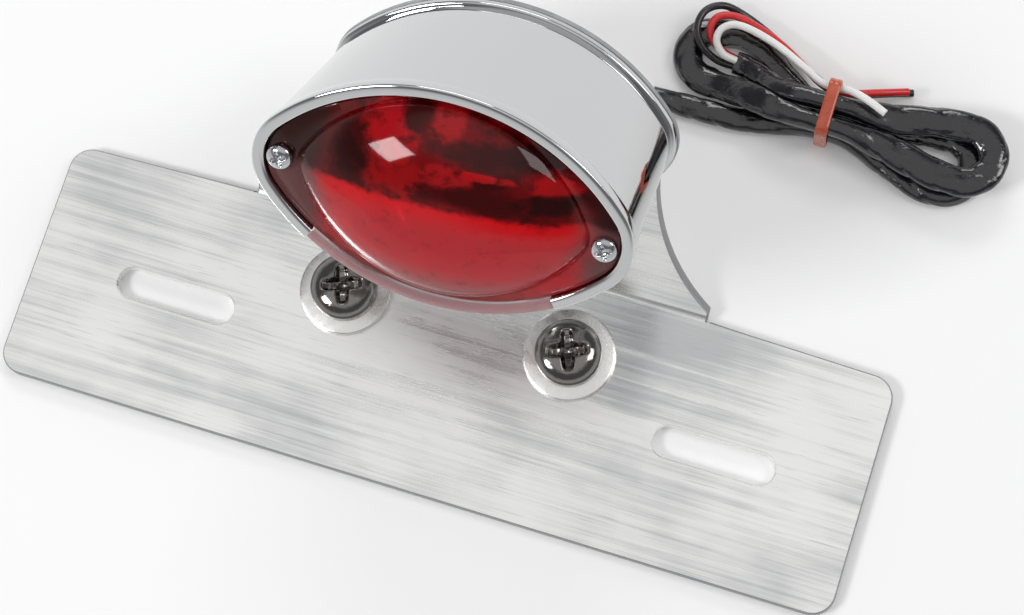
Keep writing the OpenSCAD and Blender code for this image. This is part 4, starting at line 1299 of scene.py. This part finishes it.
@dataclass
class Bracket:
    """The bent sheet, made flat with chamfered edges and then bent."""

    width: float = 203.0
    mid_y: float = -12.7
    height: float = 57.0
    sheet: float = 3.0
    corner_r: float = 5.5
    shoulder_drop: float = 1.4
    bend_r: float = 3.0
    bend_steps: int = 14
    chamfer: float = 0.32
    slot_pitch: float = 132.0
    slot_l: float = 29.0
    slot_w: float = 7.6
    fender_pitch: float = 55.0
    fender_hole_r: float = 4.25
    stud_pitch: float = 48.0
    stud_hole_r: float = 2.75
    grommet_hole_r: float = 6.2
    fillet_r: float = 44.5
    neck_inset: float = 2.3
    relief: float = 0.8

    @property
    def tangent(self) -> float:
        """Distance from the bend line to where the bend ends."""
        return self.bend_r * math.tan(NECK.angle / 2)

    @property
    def flat_end(self) -> float:
        """Where the plate's flat part ends."""
        return NECK.bend_line - self.tangent

    @property
    def bend_length(self) -> float:
        """Length of the bend in the flat pattern."""
        return (self.bend_r + self.sheet / 2) * NECK.angle

    def _pattern(self, v: float) -> float:
        """Place in the flat pattern of a height v up the neck."""
        return self.flat_end + self.bend_length + v - self.tangent

    def outline(self) -> np.ndarray:
        """The flat pattern, anticlockwise: plate, notch, bend, neck and the eye at its top.

        Returns:
            N by 2.
        """
        top_x = EYE.half_w - self.neck_inset
        fillet_x, fillet_v = top_x + self.fillet_r, NECK.lamp_up - 4.2
        foot_v = self.tangent + 0.6
        foot_x = fillet_x - math.sqrt(self.fillet_r**2 - (fillet_v - foot_v) ** 2)
        corner_x = self.width / 2 - self.corner_r
        low, high = self.mid_y - self.height / 2, self.mid_y + self.height / 2
        fillet_end = math.degrees(math.asin((fillet_v - foot_v) / self.fillet_r))
        bend_y = np.linspace(self.flat_end, self._pattern(self.tangent), self.bend_steps + 1)
        hollow = arc((fillet_x, self._pattern(fillet_v)), self.fillet_r,
                     180 + fillet_end, 180, 60)
        eye = EYE.ring(-self.neck_inset)
        first = EYE.tip_steps // 2
        last = EYE.tip_steps + EYE.arc_steps + EYE.tip_steps // 2
        top = eye[first:last + 1] + [0, self._pattern(NECK.lamp_up)]
        right = np.vstack([
            arc((corner_x, low + self.corner_r), self.corner_r, -90, 0, 14),
            arc((corner_x, high - self.corner_r), self.corner_r, 0, 88, 14),
            line([foot_x + self.relief, high + self.shoulder_drop],
                 [foot_x + self.relief, self.flat_end - 0.4], [foot_x, self.flat_end - 0.4]),
            np.column_stack([np.full(len(bend_y), foot_x), bend_y]),
            hollow])
        left = right[::-1] * [-1, 1]
        return np.vstack([right, top, left])

    def holes(self) -> Tuple[List[np.ndarray], List[np.ndarray]]:
        """The holes of the plate and those of the neck, clockwise, in the flat pattern.

        Returns:
            The plate's loops and the neck's, each N by 2.
        """
        half = (self.slot_l - self.slot_w) / 2
        slot = np.vstack([arc((half, 0), self.slot_w / 2, 90, -90, 24),
                          arc((-half, 0), self.slot_w / 2, -90, -270, 24)])
        circle = arc((0, 0), 1.0, 360, 0, 65)[:-1]
        plate = [slot + [side * self.slot_pitch / 2, self.mid_y] for side in (-1, 1)]
        plate += [circle * self.fender_hole_r + [side * self.fender_pitch / 2, 0]
                  for side in (-1, 1)]
        middle = np.array([0, self._pattern(NECK.lamp_up)])
        neck = [circle * self.grommet_hole_r + middle]
        neck += [circle * self.stud_hole_r + middle + [side * self.stud_pitch / 2, 0]
                 for side in (-1, 1)]
        return plate, neck

    def bend(self, points: np.ndarray) -> np.ndarray:
        """Bends the flat pattern: the stretch of the bend is wound round the bend's axis, and
        what lies beyond turns with its end.

        Args:
            points: N by 3, flat.

        Returns:
            N by 3.
        """
        x, y, z = points[:, 0], points[:, 1], points[:, 2]
        turn = np.clip((y - self.flat_end) / self.bend_length, 0, 1) * NECK.angle
        radius = self.bend_r + self.sheet - z
        beyond = np.maximum(y - self.flat_end - self.bend_length, 0)
        flat = np.minimum(y, self.flat_end)
        return np.stack([x, flat + radius * np.sin(turn) + beyond * np.cos(turn),
                         self.bend_r + self.sheet - radius * np.cos(turn)
                         + beyond * np.sin(turn)], axis=-1)

    def build(self) -> None:
        """Faces of the plate, strips of the bend, faces of the neck, and the edges."""
        shell = Shell()
        outline = self.outline()
        plate_holes, neck_holes = self.holes()
        loops = [outline, *plate_holes, *neck_holes]
        inner = [inset(loop, self.chamfer) for loop in loops]
        levels = ((0.0, inner), (self.chamfer, loops), (self.sheet - self.chamfer, loops),
                  (self.sheet, inner))
        # The outline's edge faces take the darker edge finish, which is partly painted shade; the
        # holes' edges keep the sheet's finish.
        for k in range(len(loops)):
            shell.look = 1 if k == 0 else 0
            rings = [at_height(level[k], height) for height, level in levels]
            shell.grid(np.stack(rings), round_cols=True)
        shell.look = 0
        edge = inner[0]
        on_bend = (outline[:, 1] > self.flat_end - 1e-6) & (
            outline[:, 1] < self._pattern(self.tangent) + 1e-6) & (
            np.abs(outline[:, 0]) < self.width / 3)
        rows = np.flatnonzero(on_bend)
        right, left = rows[edge[rows, 0] > 0], rows[edge[rows, 0] < 0][::-1]
        plate = np.vstack([edge[left[0]:], edge[:right[0] + 1]])
        neck = edge[right[-1]:left[-1] + 1]
        strips = np.stack([edge[left], edge[right]], axis=1)
        count = len(plate_holes) + 1
        for height in (0.0, self.sheet):
            shell.panel(at_height(plate, height),
                        [at_height(hole, height) for hole in inner[1:count]])
            shell.panel(at_height(neck, height),
                        [at_height(hole, height) for hole in inner[count:]])
            shell.grid(np.concatenate([strips, np.full((*strips.shape[:2], 1), height)], -1))
        shell.points = [self.bend(points) for points in shell.points]
        shell.build("bracket_sheet", Look.SHEET, replaces=["mounting_bracket"],
                    inside=Look.SHADED_EDGE)


@dataclass
class Screw:
    """A pan head screw with a cross recess, on its own axis with the head's foot at 0."""

    head_d: float
    head_h: float
    shank_d: float
    shank_l: float
    turn: float = 0.0
    steps: int = 144

    def head(self) -> np.ndarray:
        """The head's top as a height over polar points: a flat dome less a cross whose four
        tapered wings get shallower outwards, and less a dimple in the middle.

        Returns:
            Rings by steps by 3, from the middle to the rim.
        """
        radius = self.head_d / 2
        wall = 0.42 * self.head_h
        reach = 0.34 * self.head_d
        share = np.concatenate([np.linspace(0, 0.66, 60), np.linspace(0.68, 0.93, 12)])
        r = (share * radius)[:, None]
        t = np.linspace(0, 2 * np.pi, self.steps, endpoint=False)[None, :]
        x, y = r * np.cos(t), r * np.sin(t)
        dome = wall + (self.head_h - wall) * np.sqrt(np.clip(1 - (r / radius) ** 2.4, 0, 1))
        c, s = math.cos(self.turn), math.sin(self.turn)
        along, across = np.abs(c * x + s * y), np.abs(c * y - s * x)
        depth = 0 * x
        for a, b in ((along, across), (across, along)):
            half = 0.105 * self.head_d * (1 - 0.4 * a / reach)
            wing = smoothstep(0.0, 0.075 * self.head_d, half + 0.03 * self.head_d - b)
            wing = wing * smoothstep(0.0, 0.12 * self.head_d, reach - a)
            depth = np.maximum(depth, wing * (1 - 0.4 * np.clip(a / reach, 0, 1)))
        dimple = np.exp(-((r / (0.1 * self.head_d)) ** 2)) * 0.25
        height = dome - (0.42 * depth + dimple * depth) * self.head_h
        return np.stack([x, y, height], axis=-1)

    def rim(self) -> np.ndarray:
        """Profile from the top's outermost ring down the rounded rim to the shank's end.

        Returns:
            N by 2, radius and height.
        """
        radius, wall = self.head_d / 2, 0.42 * self.head_h
        share = np.array([0.93, 0.955, 0.975, 0.99, 0.997, 1.0])
        height = wall + (self.head_h - wall) * np.sqrt(np.clip(1 - share**2.4, 0, 1))
        foot = line([radius, 0.25], [radius - 0.08, 0.07], [radius - 0.25, 0.0],
                    [self.shank_d / 2, 0.0], [self.shank_d / 2, 0.3 - self.shank_l],
                    [self.shank_d / 2 - 0.3, -self.shank_l], [0.0, -self.shank_l])
        return np.vstack([np.column_stack([share * radius, height]), foot])

    def add(self, shell: Shell, place) -> None:
        """Adds the screw to a shell.

        Args:
            shell: the shell that gets it.
            place: function that carries points to the row's frame.
        """
        shell.grid(place(self.head()), round_cols=True)
        shell.grid(place(lathe(self.rim(), steps=self.steps)), round_cols=True)


@dataclass
class FenderFixings:
    """The two large screws through the plate and the washers under their heads."""

    pitch: float = 55.0
    sheet: float = 3.0
    washer_t: float = 1.6
    washer_d: float = 21.6
    screw: Screw = field(default_factory=lambda: Screw(15.6, 5.6, 8.0, 4.6, 0.35))

    def build(self) -> None:
        """Screws and washers, each pair as one piece."""
        screws, washers = Shell(), Shell()
        r, t, bore = self.washer_d / 2, self.washer_t, self.screw.shank_d / 2 + 0.1
        ring = line([bore, 0], [r - 0.4, 0], [r - 0.12, 0.12], [r, 0.4], [r, t - 0.5],
                    [r - 0.15, t - 0.15], [r - 0.5, t], [bore + 0.2, t], [bore, t - 0.2])
        for side in (-1, 1):
            lift = np.array([side * self.pitch / 2, 0, self.sheet + t])
            self.screw.add(screws, lambda points: points + lift)
            washers.grid(lathe(ring, steps=120) + lift - [0, 0, t], round_rows=True,
                         round_cols=True)
        screws.build("fender_screw_pair", Look.DARK, sharp=38, replaces=["fender_screws"])
        washers.build("fender_washer_pair", Look.WASHER, replaces=["fender_washers"])


# ---------------------------------------------------------------------------------------------
# Lamp
# ---------------------------------------------------------------------------------------------


@dataclass
class Housing:
    """The chromed shell: a drafted wall under a round rim, open below for the window."""

    foot: float = 1.5
    rim_z: float = 50.5
    rim_w: float = 2.8
    window_half: float = 33.0
    window_low: float = 28.5
    wall_low: Tuple[float, float] = (-0.3, 3.5)
    wall_top: Tuple[float, float] = (2.2, 46.5)
    stud_pitch: float = 48.0
    post_pitch: float = 72.0

    def _swept(self, profile: np.ndarray) -> np.ndarray:
        """A profile (grow, height) carried round the whole eye.

        Args:
            profile: P by 2.

        Returns:
            P by N by 3.
        """
        flat = EYE.ring(profile[:, :1])
        height = np.broadcast_to(profile[:, 1:, None], (*flat.shape[:2], 1))
        return np.concatenate([flat, height], axis=-1)

    def _swept_over(self, profile: np.ndarray) -> np.ndarray:
        """The same, from one edge of the window over the top to the other.

        Args:
            profile: P by 2.

        Returns:
            P by N by 3.
        """
        s, w = EYE.start, self.window_half
        spans = [(270 + w, 360 - s, 14, 0.0, EYE.arc_y, EYE.arc_r),
                 (-s, s, EYE.tip_steps, EYE.tip_x, 0.0, EYE.tip_r),
                 (s, 180 - s, EYE.arc_steps, 0.0, -EYE.arc_y, EYE.arc_r),
                 (180 - s, 180 + s, EYE.tip_steps, -EYE.tip_x, 0.0, EYE.tip_r),
                 (180 + s, 270 - w, 15, 0.0, EYE.arc_y, EYE.arc_r)]
        turn = np.radians(np.concatenate(
            [np.linspace(a, b, n, endpoint=k == 4) for k, (a, b, n, *_) in enumerate(spans)]))
        x, y, radius = (np.concatenate([np.full(span[2], span[k]) for span in spans])
                        for k in (3, 4, 5))
        grow = profile[:, :1]
        return np.stack([x + (radius + grow) * np.cos(turn), y + (radius + grow) * np.sin(turn),
                         profile[:, 1:] + 0 * turn], axis=-1)

    def build(self) -> None:
        """The low part all round, the high part beside the window, floor, bosses and posts."""
        (low_g, low_h), (top_g, top_h) = self.wall_low, self.wall_top
        slope = (top_g - low_g) / (top_h - low_h)
        cut = self.window_low
        out_cut = low_g + slope * (cut - low_h)
        in_cut = 0.8 - 2.5 / 40.2 * (43.2 - cut)
        bead = self.rim_w / 2
        turn = np.radians(np.linspace(0, 180, 41))
        rim = np.stack([bead + bead * np.sign(np.cos(turn)) * np.abs(np.cos(turn)) ** 0.55,
                        self.rim_z - 0.84 + 0.84 * np.sin(turn) ** 0.55], axis=-1)
        high = np.vstack([
            line([out_cut, cut], [top_g, top_h]),
            line([top_g + 0.2, top_h + 0.2], [top_g + 0.42, top_h + 0.5],
                 [self.rim_w - 0.04, top_h + 0.85]),
            rim, line([0, 46.2])])
        high_inside = line([0, 46.2], [-1.6, 46.2], [-1.6, 44.8], [0.8, 43.2], [in_cut, cut])
        low = line([-2.7, self.foot], [0.6, self.foot], [0.8, self.foot + 0.2],
                   [0.8, 3.0], [0.7, 3.25], [0.45, 3.42], [0.1, 3.5], [low_g, low_h + 0.05],
                   [out_cut, cut])
        inside = line([in_cut, cut], [-1.7, 3.3], [-2.7, 3.3])
        shell = Shell()
        place = NECK.to_row
        shell.grid(place(self._swept_over(high)))
        ends = self._swept_over(np.vstack([high, high_inside[1:]]))
        shell.cap(place(ends[:, 0]))
        shell.cap(place(ends[:, -1]))
        shell.grid(place(self._swept(low)), round_cols=True)
        sill = EYE.lower_arc(line([out_cut], [in_cut]), self.window_half, 60)
        shell.grid(place(np.concatenate([sill, np.full((2, 60, 1), cut)], axis=-1)))
        shell.look = 1
        shell.grid(place(self._swept_over(high_inside)))
        shell.grid(place(self._swept(inside)), round_cols=True)
        eye = EYE.ring(-2.7)
        angle = np.arctan2(eye[:, 1], eye[:, 0])
        hole = 3.5 * np.stack([np.cos(angle), np.sin(angle)], axis=-1)
        floor = np.stack([at_height(eye, 3.3), at_height(hole, 3.3), at_height(hole, self.foot),
                          at_height(eye, self.foot)])
        shell.grid(place(floor), round_cols=True)
        for pitch, radius, top in ((self.stud_pitch, 4.5, 13.3), (self.post_pitch, 2.6, 45.6)):
            for side in (-1, 1):
                post = line([0, 2.4], [radius, 2.4], [radius, top], [0, top])
                shell.grid(place(lathe(post, (side * pitch / 2, 0), 48)), round_cols=True)
        shell.build("lamp_shell", Look.CHROME, sharp=40, replaces=["lamp_housing"],
                    inside=Look.RAW)


@dataclass
class Lens:
    """Red lens: a flat flange in the rim and a hollow bulge."""

    seat: float = 47.2
    flange: float = 2.2
    top: float = 58.5
    wall: float = 2.0
    gap: float = 0.25
    outer: Eye = Eye(32.5, 22.6, 7.0)
    inner: Eye = Eye(30.5, 20.6, 6.0)
    rings: int = 44

    def _dome(self, eye: Eye, foot: float, top: float) -> np.ndarray:
        """Rings of the eye at share s, lifted by (1 - s^2.4)^0.72; s is cos(t)^(2 / 2.4), so
        that the rings crowd towards the foot.

        Args:
            eye: the outline at the foot.
            foot: height of the foot.
            top: height of the crown.

        Returns:
            P by N by 3.
        """
        t = np.linspace(0.03, np.pi / 2, self.rings)[:, None, None]
        share = np.cos(t) ** (2 / 2.4)
        share[-1] = 0
        height = foot + (top - foot) * np.sin(t) ** 1.44
        flat = share * eye.ring()[None]
        return np.concatenate([flat, np.broadcast_to(height, (*flat.shape[:2], 1))], axis=-1)

    def build(self) -> None:
        """Outer skin from the flange's foot to the crown, and the inner skin back."""
        flange_top = self.seat + self.flange
        edge = EYE.ring(line([-self.gap], [-self.gap], [-self.gap - 0.3]))
        heights = np.array([self.seat, flange_top - 0.3, flange_top])[:, None, None]
        rim = np.concatenate([edge, np.broadcast_to(heights, (*edge.shape[:2], 1))], axis=-1)
        outer = self._dome(self.outer, flange_top - 0.3, self.top)
        inner = self._dome(self.inner, self.seat, self.top - self.wall)
        shell = Shell()
        skin = np.concatenate([rim, outer])
        shell.grid(NECK.to_row(skin), round_cols=True)
        below = np.concatenate([rim[:1], inner])
        shell.grid(NECK.to_row(below), round_cols=True)
        shell.build("lens_dome", Look.LENS, sharp=50, replaces=["red_lens"])


@dataclass
class WindowStrip:
    """Clear strip in the lower wall, above the number plate."""

    half_angle: float = 32.7
    low: float = 28.75
    rim_z: float = 50.5
    rim_w: float = 2.8

    def build(self) -> None:
        """The strip's section carried along the middle of the lower arc, and its two ends."""
        slope = 2.5 / 43
        out_low = -0.3 + slope * (self.low - 3.5)
        in_low = 0.8 - 2.5 / 40.2 * (43.2 - self.low)
        edge = self.rim_w - 0.2
        profile = line([in_low, self.low], [out_low, self.low], [2.2, 46.4], [edge - 0.1, 46.9],
                       [edge, 47.3], [edge, 49.3], [edge - 0.35, 49.9], [edge - 1.0, 50.25],
                       [0.7, 50.3], [0.1, 50.1], [0, 49.8], [0, 46.2], [0.8, 43.2])
        flat = EYE.lower_arc(profile[:, :1], self.half_angle, 80)
        height = np.broadcast_to(profile[:, 1:, None], (*flat.shape[:2], 1))
        points = NECK.to_row(np.concatenate([flat, height], axis=-1))
        shell = Shell()
        shell.grid(points, round_rows=True)
        shell.cap(points[:, 0])
        shell.cap(points[:, -1])
        shell.build("window_strip", Look.WINDOW, replaces=["plate_window"])


@dataclass
class LampFront:
    """The two small screws in the tips of the lens."""

    pitch: float = 72.0
    seat: float = 49.5
    screw: Screw = field(default_factory=lambda: Screw(5.8, 2.2, 3.0, 15.3, 0.5))

    def build(self) -> None:
        """Both screws as one piece."""
        shell = Shell()
        for side in (-1, 1):
            lift = np.array([side * self.pitch / 2, 0, self.seat])
            self.screw.add(shell, lambda points: NECK.to_row(points + lift))
        shell.build("lens_screw_pair", Look.SCREW, sharp=38, replaces=["lens_screws"])


@dataclass
class Grommet:
    """Rubber grommet in the neck, with rounded lips."""

    bore: float = 2.5
    hole: float = 6.15
    lip: float = 8.2
    back: float = -4.3
    front: float = 1.25

    def build(self) -> None:
        """A rounded profile turned round the lamp's axis."""
        low, high = -3.05, 0.05
        profile = line([self.bore, self.back + 0.3], [self.bore + 0.3, self.back],
                       [self.lip - 0.6, self.back], [self.lip - 0.15, self.back + 0.25],
                       [self.lip, low - 0.5], [self.lip - 0.1, low], [self.hole, low],
                       [self.hole, high], [self.lip - 0.1, high], [self.lip, high + 0.4],
                       [self.lip - 0.4, self.front], [self.bore + 0.3, self.front],
                       [self.bore, self.front - 0.3])
        shell = Shell()
        shell.grid(NECK.to_row(lathe(profile, steps=72)), round_rows=True, round_cols=True)
        shell.build("neck_grommet", Look.RUBBER, replaces=["wire_grommet"])


@dataclass
class CadParts:
    """CAD nodes whose shape is right as it is: they get their finishes."""

    looks: Dict[str, Look] = field(default_factory=lambda: {
        "base_gasket": Look.PAD, "lens_gasket": Look.RUBBER, "reflector": Look.MIRROR,
        "bulb_glass": Look.GLASS, "bulb_filaments": Look.SUPPORT, "bulb_base": Look.BRASS,
        "bulb_contacts": Look.SOLDER, "socket_shell": Look.SOCKET, "contact_disc": Look.BROWN,
        "contact_spring": Look.SUPPORT, "contact_pins": Look.BRASS,
        "mounting_studs": Look.ZINC, "stud_washers": Look.ZINC,
        "stud_lock_washers": Look.ZINC, "stud_nuts": Look.ZINC})

    def build(self) -> None:
        """Dresses each node."""
        for node, look in self.looks.items():
            look.value.dress(node)


def main() -> None:
    """Builds the camera and the cords first, then the rest."""
    logging.basicConfig(level=logging.INFO, format="%(name)s: %(message)s")
    studio = Studio()
    studio.place_camera()
    Wiring().build()
    for part in (HankTie(), Bracket(), FenderFixings(), Housing(), Lens(), WindowStrip(),
                 LampFront(), Grommet(), CadParts(), studio):
        part.build()


if __name__ == "__main__":
    main()
